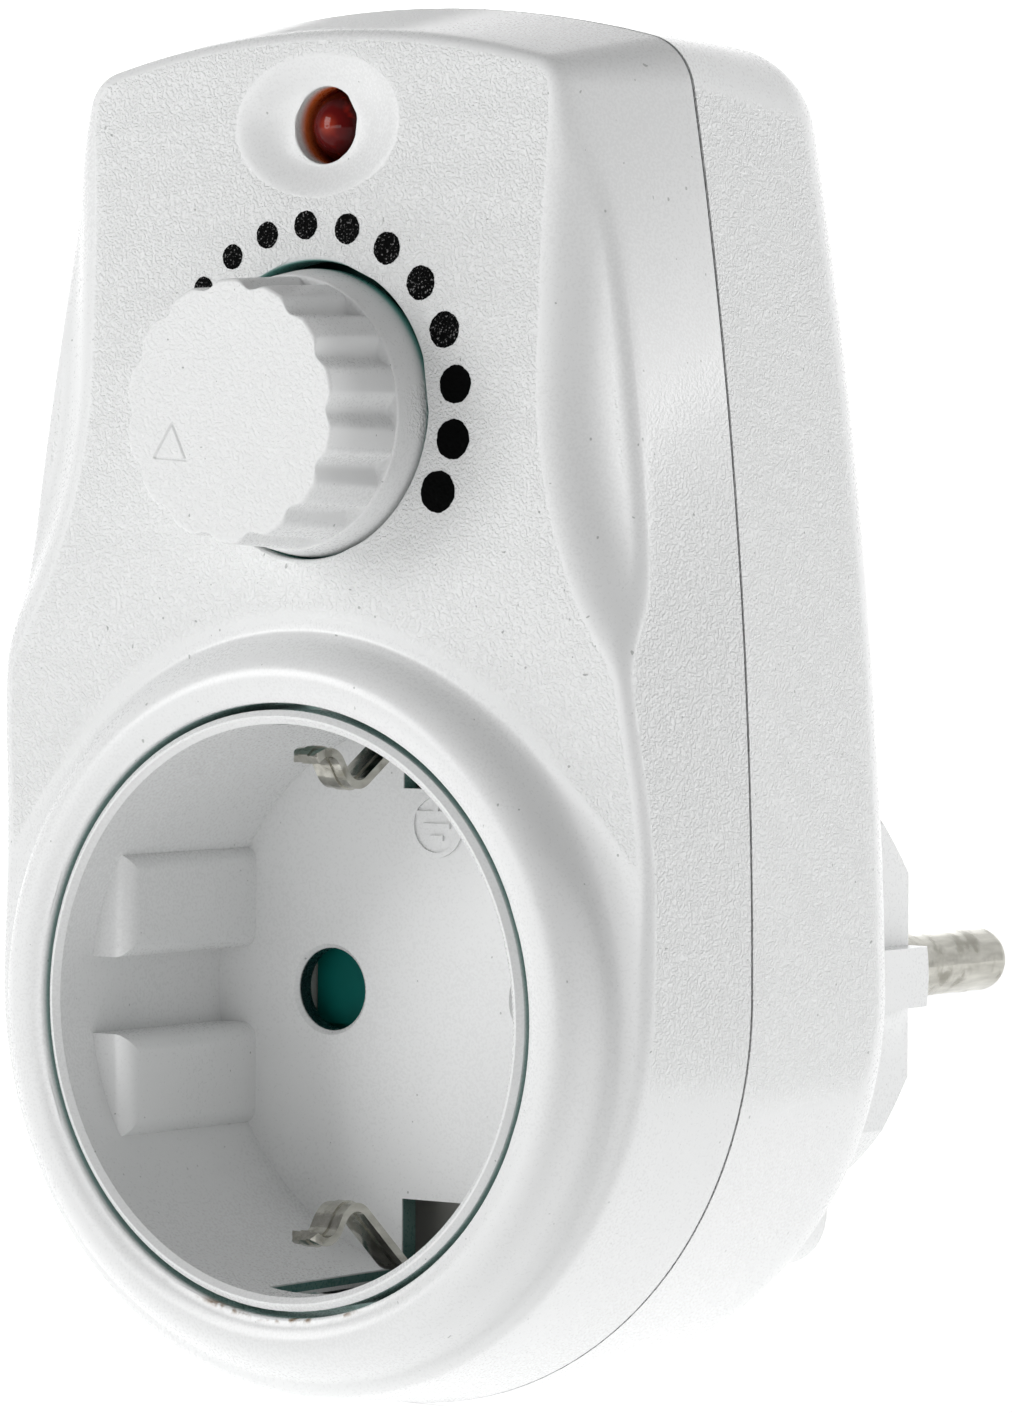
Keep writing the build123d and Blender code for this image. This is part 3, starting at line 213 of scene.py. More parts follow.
def blend(made, share, first, second):
    """A colour between two, each given as numbers or as another output."""
    node = made.node_tree.nodes.new("ShaderNodeMix")
    node.data_type = "RGBA"
    made.node_tree.links.new(share, node.inputs["Factor"])
    for slot, colour in ((node.inputs[6], first), (node.inputs[7], second)):
        if isinstance(colour, tuple):
            slot.default_value = (*colour, 1)
        else:
            made.node_tree.links.new(colour, slot)
    return node.outputs[2]


def add_bump(made, height, strength, distance):
    """Feeds the shader's normal from a height."""
    bump = made.node_tree.nodes.new("ShaderNodeBump")
    bump.inputs["Strength"].default_value = strength
    bump.inputs["Distance"].default_value = distance
    made.node_tree.links.new(height, bump.inputs["Height"])
    shader = made.node_tree.nodes["Principled BSDF"]
    made.node_tree.links.new(bump.outputs["Normal"], shader.inputs["Normal"])


def reach_from(made, axes, x, z, half_width=1.0, half_height=1.0):
    """Distance from a line along Y through x and z, in metres, or in half sizes."""
    across = calc(made, "DIVIDE", calc(made, "SUBTRACT", axes["X"], x), half_width)
    along = calc(made, "DIVIDE", calc(made, "SUBTRACT", axes["Z"], z), half_height)
    squares = calc(made, "ADD", product(made, across, across), product(made, along, along))
    return calc(made, "SQRT", squares)


def start_finish(name):
    """An empty material with its object coordinates, whole and split into axes."""
    made, nodes, links, shader = new_material(name)
    place = nodes.new("ShaderNodeTexCoord").outputs["Object"]
    split = nodes.new("ShaderNodeSeparateXYZ")
    links.new(place, split.inputs["Vector"])
    return made, nodes, links, shader, place, split.outputs


def white_grain(made, facing, sideways, upward, axes):
    """Where the white plastic is grained, first as a region and then as a depth."""
    lying = calc(made, "MAXIMUM", calc(made, "MAXIMUM", facing, sideways), upward)
    off_flanks = calc(
        made,
        "MAXIMUM",
        band(made, sideways, *NEARLY_FORWARD),
        band(made, sideways, *NEARLY_SIDEWAYS),
    )
    off_collar = band(made, reach_from(made, axes, 0, 0), *OUT_OF_COLLAR)
    region = product(made, band(made, lying, *ALONG_AN_AXIS), off_collar, off_flanks)
    from_dimple = reach_from(made, axes, 0, LAMP_Z, *DIMPLE_HALVES)
    knob = product(
        made,
        band(made, axes["Y"], *KNOB_REACH),
        band(made, facing, *TURNED_ASIDE, low=KNOB_GRAIN),
    )
    off_knob = calc(made, "SUBTRACT", 1.0, knob)
    off_dimple = band(made, from_dimple, *DIMPLE_EDGE, low=DIMPLE_GRAIN)
    return region, product(made, region, off_dimple, off_knob)


def painted_lamp_glow(made, axes, in_front):
    """Painted red glow on the wall of the lamp's hole, standing for light from the lens: its share
    and its colour.
    """
    share = product(
        made,
        band(made, reach_from(made, axes, 0, LAMP_Z), *LAMP_BORE),
        band(made, axes["Y"], *LAMP_GLOW),
        in_front,
    )
    return share, blend(made, band(made, axes["Y"], *LAMP_DEEP), GLOW, GLOW_DEEP)


def smudge_and_painted_light(made, place, axes, facing, in_front):
    """Shares and colours of the real smudge, of the painted red glow in the lamp's hole, and of the
    painted shade in the gaps, the pin bores and the slots.
    """
    from_socket = reach_from(made, axes, 0, 0)
    across = calc(made, "ABSOLUTE", axes["X"])
    smudge = product(
        made,
        band(made, from_socket, *SMUDGE_INNER),
        band(made, from_socket, *SMUDGE_OUTER),
        band(made, axes["Z"], *SMUDGE_LOW),
        band(made, noise(made, place, DIRT, 3.0), 0.45, 0.6),
        in_front,
    )
    glow, glow_colour = painted_lamp_glow(made, axes, in_front)
    # Painted shade: teal on the walls of the gap round the knob
    knob_gap_shade = product(
        made,
        band(made, reach_from(made, axes, 0, DIAL_Z), *KNOB_GAP),
        band(made, axes["Y"], *KNOB_GAP_DEPTH),
        in_front,
    )
    # Painted shade: teal in the gap between the collar and the socket's rim
    collar_gap_shade = product(
        made,
        band(made, from_socket, *COLLAR_GAP_INNER),
        band(made, from_socket, *COLLAR_GAP_OUTER),
        band(made, axes["Y"], *COLLAR_GAP_DEPTH),
        in_front,
        COLLAR_GAP_SHARE,
    )
    before_carrier = band(made, axes["Y"], *BEFORE_CARRIER)
    from_pin = calc(made, "SUBTRACT", across, PIN_X)
    from_pin = calc(
        made,
        "SQRT",
        calc(
            made,
            "ADD",
            product(made, from_pin, from_pin),
            product(made, axes["Z"], axes["Z"]),
        ),
    )
    # Painted shade: near black on the wall of each pin's bore
    bore_shade = product(
        made,
        band(made, from_pin, *PIN_BORE),
        band(made, axes["Y"], *PIN_BORE_DEPTH),
        before_carrier,
    )
    in_slot = band(made, across, *SLOT_WIDTH)
    slot_wall = product(
        made,
        band(made, from_socket, *SLOT_WALL_INNER),
        band(made, from_socket, *SLOT_WALL_OUTER),
        in_slot,
        band(made, facing, *TURNED_FROM_FRONT),
    )
    floor_slot = product(
        made,
        band(made, axes["Y"], *FLOOR_SLOT_DEPTH),
        in_slot,
        band(made, calc(made, "ABSOLUTE", axes["Z"]), *FLOOR_SLOT_START),
    )
    # Painted shade: dark teal on the walls and floor of the slots in the well
    slot_shade = product(
        made,
        calc(made, "MAXIMUM", slot_wall, floor_slot),
        before_carrier,
        band(made, from_socket, *IN_WELL),
        SLOT_SHARE,
    )
    return (
        (smudge, SMUDGE),
        (glow, glow_colour),
        (knob_gap_shade, KNOB_GAP_SHADE),
        (collar_gap_shade, COLLAR_GAP_SHADE),
        (bore_shade, BORE_SHADE),
        (slot_shade, SLOT_SHADE),
    )


def white_finish():
    """White plastic: grained on its dial face and sides, smooth and glossier elsewhere."""
    made, nodes, links, shader, place, axes = start_finish("white_plastic")
    normal = nodes.new("ShaderNodeSeparateXYZ")
    links.new(nodes.new("ShaderNodeNewGeometry").outputs["Normal"], normal.inputs["Vector"])
    facing = calc(made, "MULTIPLY", normal.outputs["Y"], -1)
    sideways = calc(made, "ABSOLUTE", normal.outputs["X"])
    upward = calc(made, "ABSOLUTE", normal.outputs["Z"])
    textured, grained = white_grain(made, facing, sideways, upward, axes)

    pebbles = band(made, noise(made, place, PEBBLES, 1.0), 0.34, 0.66)
    fine = noise(made, place, FINE_GRAIN, 1.0)
    smooth = calc(
        made,
        "ADD",
        product(made, noise(made, place, WAVES, 2.0), WAVE_SHARE),
        product(made, fine, FINE_SHARE),
    )
    height = calc(made, "ADD", product(made, pebbles, grained), smooth)
    add_bump(made, height, 1.0, GRAIN_HEIGHT)

    cloud = noise(made, place, CLOUDS, 3.0)
    tones = calc(made, "ADD", product(made, cloud, 0.4), product(made, fine, 0.6))
    uneven = product(made, calc(made, "SUBTRACT", tones, 0.5), TONE_SWING)
    gloss = band(made, textured, 0.0, 1.0, SMOOTH_ROUGHNESS, GRAINED_ROUGHNESS)
    links.new(calc(made, "ADD", gloss, uneven), shader.inputs["Roughness"])

    colour = blend(made, tones, WHITE_LOW, WHITE_HIGH)
    specks = band(made, noise(made, place, SPECKS, 0.0), 0.845, 0.88)
    specks = product(made, specks, SPECK_SHARE)
    colour = blend(made, specks, colour, SPECK)
    in_front = band(made, axes["Y"], *IN_FRONT)
    # Lays the real smudge, the painted glow and the painted shade over the white
    for share, tint in smudge_and_painted_light(made, place, axes, facing, in_front):
        colour = blend(made, share, colour, tint)
    links.new(colour, shader.inputs["Base Color"])
    return made


def lens_finish():
    """Clear red lens drawn as opaque red: painted light in its middle and painted shade, near
    black, at its rim.
    """
    made, _, links, shader, place, axes = start_finish("red_lens")
    away = reach_from(made, axes, 0, LAMP_Z)
    # Painted light in the middle and painted shade at the rim
    core = blend(made, band(made, away, 0.0002, 0.0010), LENS_LIT_MIDDLE, LENS_BODY)
    colour = blend(made, band(made, away, 0.0009, 0.0022), core, LENS_SHADED_RIM)
    swirl = noise(made, place, LENS_SWIRLS, 2.0)
    colour = blend(made, band(made, swirl, 0.55, 0.75, high=0.5), colour, LENS_SWIRL)
    links.new(colour, shader.inputs["Base Color"])
    shader.inputs["Roughness"].default_value = 0.06
    shader.inputs["Specular IOR Level"].default_value = 0.16
    return made


def print_finish():
    """Black ink, with small gaps over the grain on the upper dots."""
    made, _, links, shader, place, axes = start_finish("dial_print")
    gaps = band(made, noise(made, place, PRINT_GAPS, 2.0), 0.58, 0.68)
    worn = band(made, axes["Z"], *WEAR_HEIGHT)
    colour = blend(made, product(made, gaps, worn, WEAR_SHARE), INK, BARE_GRAIN)
    links.new(colour, shader.inputs["Base Color"])
    shader.inputs["Roughness"].default_value = 0.75
    shader.inputs["Specular IOR Level"].default_value = 0.05
    add_bump(made, noise(made, place, PRINT_WAVES, 1.0), 1.0, GRAIN_HEIGHT)
    return made


def nickel_finish():
    """Nickel coloured in soft streaks from dark to bright as painted reflections, with small dull
    patches.
    """
    made, nodes, links, shader, place, _ = start_finish("nickel")
    spread = nodes.new("ShaderNodeMapping")
    spread.inputs["Scale"].default_value = STREAK_STRETCH
    links.new(place, spread.inputs["Vector"])
    streaks = noise(made, spread.outputs["Vector"], STREAKS, 3.0)
    patches = noise(made, place, DULL_PATCHES, 3.0)
    # Painted reflections: streaks from dark to bright
    colour = blend(made, streaks, NICKEL_DARK_REFLECTION, NICKEL_BRIGHT_REFLECTION)
    colour = blend(made, band(made, patches, 0.5, 0.7, high=0.6), colour, NICKEL_DULL)
    links.new(colour, shader.inputs["Base Color"])
    links.new(band(made, patches, 0.3, 0.7, 0.12, 0.3), shader.inputs["Roughness"])
    shader.inputs["Metallic"].default_value = 1.0
    add_bump(made, calc(made, "ADD", streaks, patches), 0.6, 0.5 * GRAIN_HEIGHT)
    return made


def shaded_shutter_finish():
    """Deep teal, matt: painted shade for the shutter in shadow behind the pin hole."""
    made, _, links, shader, place, _ = start_finish("shutter_plastic")
    # Painted shade: the whole shutter in deep teal
    colour = blend(made, noise(made, place, SHUTTER_CLOUDS, 2.0), SHADED_SHUTTER_DARK, SHADED_SHUTTER_LIGHT)
    links.new(colour, shader.inputs["Base Color"])
    shader.inputs["Roughness"].default_value = 0.5
    shader.inputs["Specular IOR Level"].default_value = 0.12
    return made


FINISHES = {
    "white_plastic": white_finish(),
    "dial_print": print_finish(),
    "inner_plastic": surface("inner_plastic", (0.60, 0.60, 0.57), 0.5),
    "shutter_plastic": shaded_shutter_finish(),
    "spring_steel": surface("spring_steel", (0.55, 0.55, 0.55), 0.3, metal=1.0),
    "contact_brass": surface("contact_brass", (0.70, 0.52, 0.22), 0.35, metal=1.0),
    "nickel": nickel_finish(),
    "pot_plastic": surface("pot_plastic", (0.03, 0.03, 0.035), 0.45),
    "red_lens": lens_finish(),
    "board": surface("board", (0.02, 0.15, 0.12), 0.5, 0.08, 400),
    "ferrite": surface("ferrite", (0.05, 0.05, 0.05), 0.6),
    "enamelled_wire": surface("enamelled_wire", (0.55, 0.20, 0.07), 0.25, metal=1.0),
    "capacitor_case": surface("capacitor_case", (0.62, 0.45, 0.05), 0.3),
    "black_case": surface("black_case", (0.02, 0.02, 0.02), 0.45),
    "heat_sink_metal": surface("heat_sink_metal", (0.65, 0.65, 0.67), 0.4, metal=1.0),
    "fuse_glass": surface("fuse_glass", (0.85, 0.9, 0.9), 0.05, through=0.9),
    "resistor_body": surface("resistor_body", (0.55, 0.42, 0.28), 0.35),
    "diac_glass": surface("diac_glass", (0.05, 0.12, 0.4), 0.3),
    "brown_wire": surface("brown_wire", (0.10, 0.035, 0.015), 0.45),
    "blue_wire": surface("blue_wire", (0.02, 0.09, 0.4), 0.45),
    "screw_steel": surface("screw_steel", (0.5, 0.5, 0.5), 0.35, metal=1.0),
}

for entry in frame["record"]["subparts"]:
    node = frame["nodes"][entry["node"]]
    node.data.materials.clear()
    node.data.materials.append(FINISHES[entry["material_slot"]])


def add_piece(name, points, faces, body, slot, *replaced):
    """A smooth mesh piece from points in millimetres, which stands for the named nodes."""
    mesh = bpy.data.meshes.new(name)
    mesh.from_pydata([[c * MM for c in point] for point in points], [], faces)
    mesh.update()
    mesh.polygons.foreach_set("use_smooth", [True] * len(mesh.polygons))
    mesh.materials.append(FINISHES[slot])
    piece = bpy.data.objects.new(name, mesh)
    bpy.context.scene.collection.objects.link(piece)
    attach(piece, body)
    if replaced:
        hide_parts(*replaced)
    return piece


def tidy_mesh(piece):
    """Joins points that lie together and turns every face outward."""
    mesh = bmesh.new()
    mesh.from_mesh(piece.data)
    bmesh.ops.remove_doubles(mesh, verts=mesh.verts, dist=WELD)
    bmesh.ops.recalc_face_normals(mesh, faces=mesh.faces)
    mesh.to_mesh(piece.data)
    mesh.free()


# Sizes shared with the solids, in millimetres, Y from front to back
SEAM_Y = -42.3
SEAM_GAP = 0.22
EDGE_Y, EDGE_SLOPE = -52.65, 0.038
FACE_Y, FACE_SLOPE = -55.55, 0.05
CREST_Y = -56.95
RAMP_HEIGHT, RAMP_SLOPE = 24.0, 0.16
ROUND_RISE = 1.2
# The casing's half width, side radius, top height, crown radius and corner radius
SEAM_OUTLINE = (29.4, 371.0, 68.9, 85.0, 4.5)
FRONT_OUTLINE = (27.4, 215.0, 65.7, 70.0, 2.2)
PLATEAU_HALF, BEND_HEIGHT, BEND_RADIUS = 20.3, 44.0, 34.4
TOP_FLARE, FLARE_HEIGHT, FLARE_REACH = 0.9, 50.0, 15.0
FLANK_WIDTH = 2.27
FLANK_SOFT = 0.42
RAMP_SOFT = 0.5
JOIN_SOFT = 0.18
EDGE_ROUND = 0.9
DIAL_HEIGHT = 40.9
KNOB_HOLE = 10.2
SOCKET_HOLE = 20.97
LAMP_HEIGHT, LAMP_HOLE = 60.4, 2.65
DIMPLE_HALF_WIDTH, DIMPLE_HALF_HEIGHT, DIMPLE_DEPTH = 6.3, 4.7, 1.0
# The collar's radius and how far forward it is there
COLLAR = [
    (20.0, -55.6),
    (20.97, -56.3),
    (21.5, -56.65),
    (22.2, -56.9),
    (22.8, -56.95),
    (23.5, -56.8),
    (24.1, -56.4),
    (24.7, -55.7),
    (25.1, -55.0),
    (25.5, -54.1),
    (25.9, -53.45),
    (26.6, -53.1),
    (28.2, -52.45),
    (31.0, -51.3),
    (90.0, -20.0),
]


def soft_plus(x):
    """Zero below and x above, blended where they meet."""
    return x if x > 30 else math.log1p(math.exp(x))


def soft_min(a, b, soft):
    """The lesser of two depths, blended where they meet."""
    return b - soft * soft_plus((b - a) / soft)


def collar_depth(radius):
    """The collar's profile as a smooth curve through its points."""
    last = len(COLLAR) - 1
    for index in range(last):
        if radius <= COLLAR[index + 1][0] or index == last - 1:
            break
    before = COLLAR[max(index - 1, 0)]
    start, end = COLLAR[index], COLLAR[index + 1]
    after = COLLAR[min(index + 2, last)]
    span = end[0] - start[0]
    slope_start = (end[1] - before[1]) / (end[0] - before[0])
    slope_end = (after[1] - start[1]) / (after[0] - start[0])
    t = (radius - start[0]) / span
    return (
        (2 * t**3 - 3 * t**2 + 1) * start[1]
        + (t**3 - 2 * t**2 + t) * span * slope_start
        + (3 * t**2 - 2 * t**3) * end[1]
        + (t**3 - t**2) * span * slope_end
    )


def edge_depth(z):
    """The lower plane that the dial face rises from."""
    return EDGE_Y + EDGE_SLOPE * z


def dial_depth(x, z):
    """The raised dial face with its soft flanks, over the lower edge plane."""
    face = FACE_Y + FACE_SLOPE * z
    ramp = FACE_Y + FACE_SLOPE * RAMP_HEIGHT + RAMP_SLOPE * (RAMP_HEIGHT - z)
    top = -soft_min(-face, -ramp, RAMP_SOFT)
    low = edge_depth(z)
    top = soft_min(top, low, RAMP_SOFT)
    if z > BEND_HEIGHT:
        outside = abs(x) - PLATEAU_HALF - TOP_FLARE * max((z - FLARE_HEIGHT) / FLARE_REACH, 0) ** 2
    else:
        away = math.hypot(abs(x) - PLATEAU_HALF - BEND_RADIUS, z - BEND_HEIGHT)
        outside = BEND_RADIUS - away
    rise = soft_plus((FLANK_WIDTH - outside) / FLANK_SOFT) - soft_plus(-outside / FLANK_SOFT)
    rise *= FLANK_SOFT / FLANK_WIDTH
    return low + (top - low) * rise


DIMPLE_INNER, DIMPLE_OUTER = 0.5, 1.15


def front_depth(x, z):
    """How far forward the front cover's skin is at a place on its face."""
    depth = soft_min(dial_depth(x, z), collar_depth(math.hypot(x, z)), JOIN_SOFT)
    reach = math.hypot(x / DIMPLE_HALF_WIDTH, (z - LAMP_HEIGHT) / DIMPLE_HALF_HEIGHT)
    if reach < DIMPLE_OUTER:
        fade = min(max((reach - DIMPLE_INNER) / (DIMPLE_OUTER - DIMPLE_INNER), 0), 1)
        depth += DIMPLE_DEPTH * (1 - fade * fade * (3 - 2 * fade))
    return depth


def arc(start, middle, end, count):
    """Evenly spaced points along the circle through three points, without the last."""
    ax, ay = start
    bx, by = middle
    cx, cy = end
    det = 2 * (ax * (by - cy) + bx * (cy - ay) + cx * (ay - by))
    sa, sb, sc = ax * ax + ay * ay, bx * bx + by * by, cx * cx + cy * cy
    ux = (sa * (by - cy) + sb * (cy - ay) + sc * (ay - by)) / det
    uy = (sa * (cx - bx) + sb * (ax - cx) + sc * (bx - ax)) / det
    first = math.atan2(ay - uy, ax - ux)
    mid = (math.atan2(by - uy, bx - ux) - first) % (2 * math.pi)
    last = (math.atan2(cy - uy, cx - ux) - first) % (2 * math.pi)
    if mid > last:
        last -= 2 * math.pi
    radius = math.hypot(ax - ux, ay - uy)
    turns = [first + last * step / count for step in range(count)]
    return [(ux + radius * math.cos(t), uy + radius * math.sin(t)) for t in turns]


FOOT_STEPS, SIDE_STEPS, CORNER_STEPS, TOP_STEPS = 150, 110, 22, 70


def outline(half, bow, top, crown, corner):
    """The casing's outline, the same way round and with the same steps at every depth."""
    side_x = half - bow
    inner_bow, inner_crown = bow - corner, crown - corner
    crown_z = top - crown
    span = math.hypot(side_x, crown_z - ROUND_RISE)
    along = (span**2 + inner_bow**2 - inner_crown**2) / (2 * span)
    aside = math.sqrt(inner_bow**2 - along**2)
    ux, uz = -side_x / span, (crown_z - ROUND_RISE) / span
    centre_x = side_x + along * ux + aside * abs(uz)
    centre_z = ROUND_RISE + along * uz + aside * ux
    out = math.atan2(centre_z - ROUND_RISE, centre_x - side_x)
    up = math.atan2(centre_z - crown_z, centre_x)
    low = (centre_x + corner * math.cos(out), centre_z + corner * math.sin(out))
    high = (centre_x + corner * math.cos(up), centre_z + corner * math.sin(up))
    mid_turn = (out + up) / 2
    mid = (centre_x + corner * math.cos(mid_turn), centre_z + corner * math.sin(mid_turn))
    side_mid = (side_x + bow * math.cos(out / 2), ROUND_RISE + bow * math.sin(out / 2))
    points = arc((-half, ROUND_RISE), (0, ROUND_RISE - half), (half, ROUND_RISE), FOOT_STEPS)
    points += arc((half, ROUND_RISE), side_mid, low, SIDE_STEPS)
    points += arc(low, mid, high, CORNER_STEPS)
    points += arc(high, (0, top), (-high[0], high[1]), TOP_STEPS)
    points += arc((-high[0], high[1]), (-mid[0], mid[1]), (-low[0], low[1]), CORNER_STEPS)
    points += arc((-low[0], low[1]), (-side_mid[0], side_mid[1]), (-half, ROUND_RISE), SIDE_STEPS)
    return points


def ring(centre_z, radius, count):
    """Points evenly round a circle."""
    turns = [2 * math.pi * step / count for step in range(count)]
    return [(radius * math.cos(t), centre_z + radius * math.sin(t)) for t in turns]


# How finely the front shell is divided, in counts and in millimetres
SIDE_ROWS, ROUND_ROWS, RIM_ROWS, EDGE_PASSES = 10, 7, 5, 12
COLLAR_RINGS = [21.6 + 0.4 * step for step in range(13)]
COLLAR_RING_STEPS, COLLAR_RING_REACH = 300, 26.6
DIMPLE_RINGS, DIMPLE_RING_STEPS, DIMPLE_RING_REACH = [0.62, 0.72, 0.82, 0.92, 1.02, 1.12], 80, 1.17
GRID, GRID_LOW, GRID_SPAN, GRID_MARGIN, RIM_MARGIN = 0.6, -29, 100, 0.3, 0.45
# Each hole's centre height, radius, steps, rim softness and depth of its wall
HOLES = [
    (0, SOCKET_HOLE, 360, 0.25, 9.0),
    (DIAL_HEIGHT, KNOB_HOLE, 200, 0.35, 2.2),
    (LAMP_HEIGHT, LAMP_HOLE, 120, 0.12, 5.0),
]


def loop_edges(loops):
    """The edges that close each loop of point numbers."""
    return [(loop[k - 1], loop[k]) for loop in loops for k in range(len(loop))]


def grid_points(rim):
    """A staggered grid of points inside the rim, clear of the holes, collar and dimple."""
    inside = []
    rise = GRID * math.sqrt(3) / 2
    limits = [(height, radius + soft + RIM_MARGIN) for height, radius, _, soft, _ in HOLES]
    for row in range(int(GRID_SPAN / rise)):
        z = GRID_LOW + row * rise
        crossings = []
        for index, b in enumerate(rim):
            a = rim[index - 1]
            if (a.y > z) != (b.y > z):
                crossings.append(a.x + (b.x - a.x) * (z - a.y) / (b.y - a.y))
        if len(crossings) < 2:
            continue
        left, right = min(crossings) + GRID_MARGIN, max(crossings) - GRID_MARGIN
        x = left + (GRID / 2 if row % 2 else 0)
        while x < right:
            away = math.hypot(x, z)
            dimple = math.hypot(x / DIMPLE_HALF_WIDTH, (z - LAMP_HEIGHT) / DIMPLE_HALF_HEIGHT)
            clear = all(math.hypot(x, z - height) > limit for height, limit in limits)
            if clear and away > COLLAR_RING_REACH and dimple > DIMPLE_RING_REACH:
                inside.append((x, z))
            x += GRID
    return inside


def front_shell():
    """The front cover as one skin: side wall, soft edge, face, and the rims of its holes."""
    seam, front = outline(*SEAM_OUTLINE), outline(*FRONT_OUTLINE)
    count = len(seam)

    def side(index, y):
        share = (y - SEAM_Y) / (CREST_Y - SEAM_Y)
        sx, sz = seam[index]
        fx, fz = front[index]
        return sx + (fx - sx) * share, sz + (fz - sz) * share

    edge = []
    for index in range(count):
        y = EDGE_Y
        for _ in range(EDGE_PASSES):
            x, z = side(index, y)
            y = front_depth(x, z)
        edge.append(y)
    rows = []
    back_y = SEAM_Y - SEAM_GAP
    for step in range(SIDE_ROWS):
        row = []
        for index in range(count):
            y = back_y + (edge[index] + EDGE_ROUND - back_y) * step / SIDE_ROWS
            x, z = side(index, y)
            row.append((x, y, z))
        rows.append(row)
    flat = [side(index, edge[index]) for index in range(count)]
    inner = []
    for index in range(count):
        px, pz = flat[index - 1]
        nx, nz = flat[(index + 1) % count]
        length = math.hypot(nx - px, nz - pz)
        inner.append(
            (
                flat[index][0] - EDGE_ROUND * (nz - pz) / length,
                flat[index][1] + EDGE_ROUND * (nx - px) / length,
            )
        )
    for step in range(ROUND_ROWS):
        t = step / ROUND_ROWS
        row = []
        for index in range(count):
            low = side(index, edge[index] + EDGE_ROUND)
            low = (low[0], edge[index] + EDGE_ROUND, low[1])
            mid = (flat[index][0], edge[index], flat[index][1])
            x, z = inner[index]
            high = (x, front_depth(x, z), z)
            row.append(
                tuple(
                    (1 - t) ** 2 * low[k] + 2 * t * (1 - t) * mid[k] + t * t * high[k]
                    for k in range(3)
                )
            )
        rows.append(row)
    points, faces = [], []
    for row in rows:
        points += row
    for row in range(len(rows) - 1):
        for index in range(count):
            here, there = row * count + index, row * count + (index + 1) % count
            faces.append((here, there, there + count, here + count))
    last_row = (len(rows) - 1) * count

    flat_points = list(inner)
    loops = [list(range(count))]
    for centre_z, radius, steps, soft, _ in HOLES:
        loops.append(list(range(len(flat_points), len(flat_points) + steps)))
        flat_points += ring(centre_z, radius + soft, steps)
    for radius in COLLAR_RINGS:
        flat_points += ring(0, radius, COLLAR_RING_STEPS)
    for reach in DIMPLE_RINGS:
        for x, z in ring(0, reach, DIMPLE_RING_STEPS):
            flat_points.append((x * DIMPLE_HALF_WIDTH, LAMP_HEIGHT + z * DIMPLE_HALF_HEIGHT))
    rim = [Vector(p) for p in inner]
    flat_points += grid_points(rim)
    solved = delaunay_2d_cdt(
        [Vector(p) for p in flat_points], loop_edges(loops), [], 0, JOIN_REACH
    )
    solved_points, solved_faces = solved[0], solved[2]
    sources = [group[0] if group else -1 for group in solved[3]]
    base = len(points)
    points += [(p.x, front_depth(p.x, p.y), p.y) for p in solved_points]
    place_of = {source: base + k for k, source in enumerate(sources) if source >= 0}
    for face in solved_faces:
        centre = sum((solved_points[k] for k in face), Vector((0, 0))) / len(face)
        in_hole = any(math.hypot(centre.x, centre.y - c) < r for c, r, _, _, _ in HOLES)
        if in_hole or not in_loop(centre, rim):
            continue
        faces.append(tuple(base + k for k in face))
    for index in range(count):
        here, there = index, (index + 1) % count
        faces.append((last_row + here, last_row + there, place_of[there], place_of[here]))
    for loop, (centre_z, radius, steps, soft, depth) in zip(loops[1:], HOLES):
        previous = [place_of[k] for k in loop]
        for turn in range(1, RIM_ROWS + 1):
            angle = math.pi / 2 * turn / RIM_ROWS
            share = (radius + soft * (1 - math.sin(angle))) / (radius + soft)
            start = len(points)
            for k in range(steps):
                x, z = flat_points[loop[k]]
                y = front_depth(x, z) + soft * (1 - math.cos(angle))
                points.append((x * share, y, centre_z + (z - centre_z) * share))
            current = list(range(start, start + steps))
            for k in range(steps):
                n = (k + 1) % steps
                faces.append((previous[k], previous[n], current[n], current[k]))
            previous = current
        start = len(points)
        for k in range(steps):
            x, y, z = points[previous[k]]
            points.append((x, y + depth, z))
        for k in range(steps):
            n = (k + 1) % steps
            faces.append((previous[k], previous[n], start + n, start + k))
    return points, faces


def in_loop(place, loop):
    """Whether a place lies inside a closed loop."""
    inside = False
    for k in range(len(loop)):
        a, b = loop[k - 1], loop[k]
        if (a.y > place.y) != (b.y > place.y):
            if place.x < a.x + (b.x - a.x) * (place.y - a.y) / (b.y - a.y):
                inside = not inside
    return inside


shell = add_piece("front_shell", *front_shell(), "housing", "white_plastic", "front_cover")
tidy_mesh(shell)


# Dots of the scale, printed on the dial face: their turns in degrees, smallest first
DOT_TURNS = [206, 193, 179, 166, 152, 138, 123.2, 108.2, 92.9, 76.6, 59.7, 42.4, 25, 7.6, -9.2, -26]
DOT_CIRCLE = 12.65
DOT_SMALL, DOT_LARGE = 0.5, 1.42
DOT_PROUD = 0.02
DOT_STEPS = 72
# How ragged the dots' edges are: waves round each dot, their height and their shift per dot
DOT_WAVES = [(5, 0.012, 1), (11, 0.012, 2), (23, 0.01, 3)]


def dots():
    """The printed dots as flat faces just over the dial face."""
    points, faces = [], []
    for index, degrees in enumerate(DOT_TURNS):
        turn = math.radians(degrees)
        cx = DOT_CIRCLE * math.cos(turn)
        cz = DIAL_HEIGHT + DOT_CIRCLE * math.sin(turn)
        radius = DOT_SMALL + (DOT_LARGE - DOT_SMALL) * index / (len(DOT_TURNS) - 1)
        start = len(points)
        for k in range(DOT_STEPS):
            t = 2 * math.pi * k / DOT_STEPS
            wobble = 1 + sum(high * math.sin(n * t + shift * index) for n, high, shift in DOT_WAVES)
            x, z = cx + radius * wobble * math.cos(t), cz + radius * wobble * math.sin(t)
            points.append((x, front_depth(x, z) - DOT_PROUD, z))
        faces.append(tuple(range(start, start + DOT_STEPS)))
    return points, faces


add_piece("printed_dots", *dots(), "housing", "dial_print", "scale_dots")


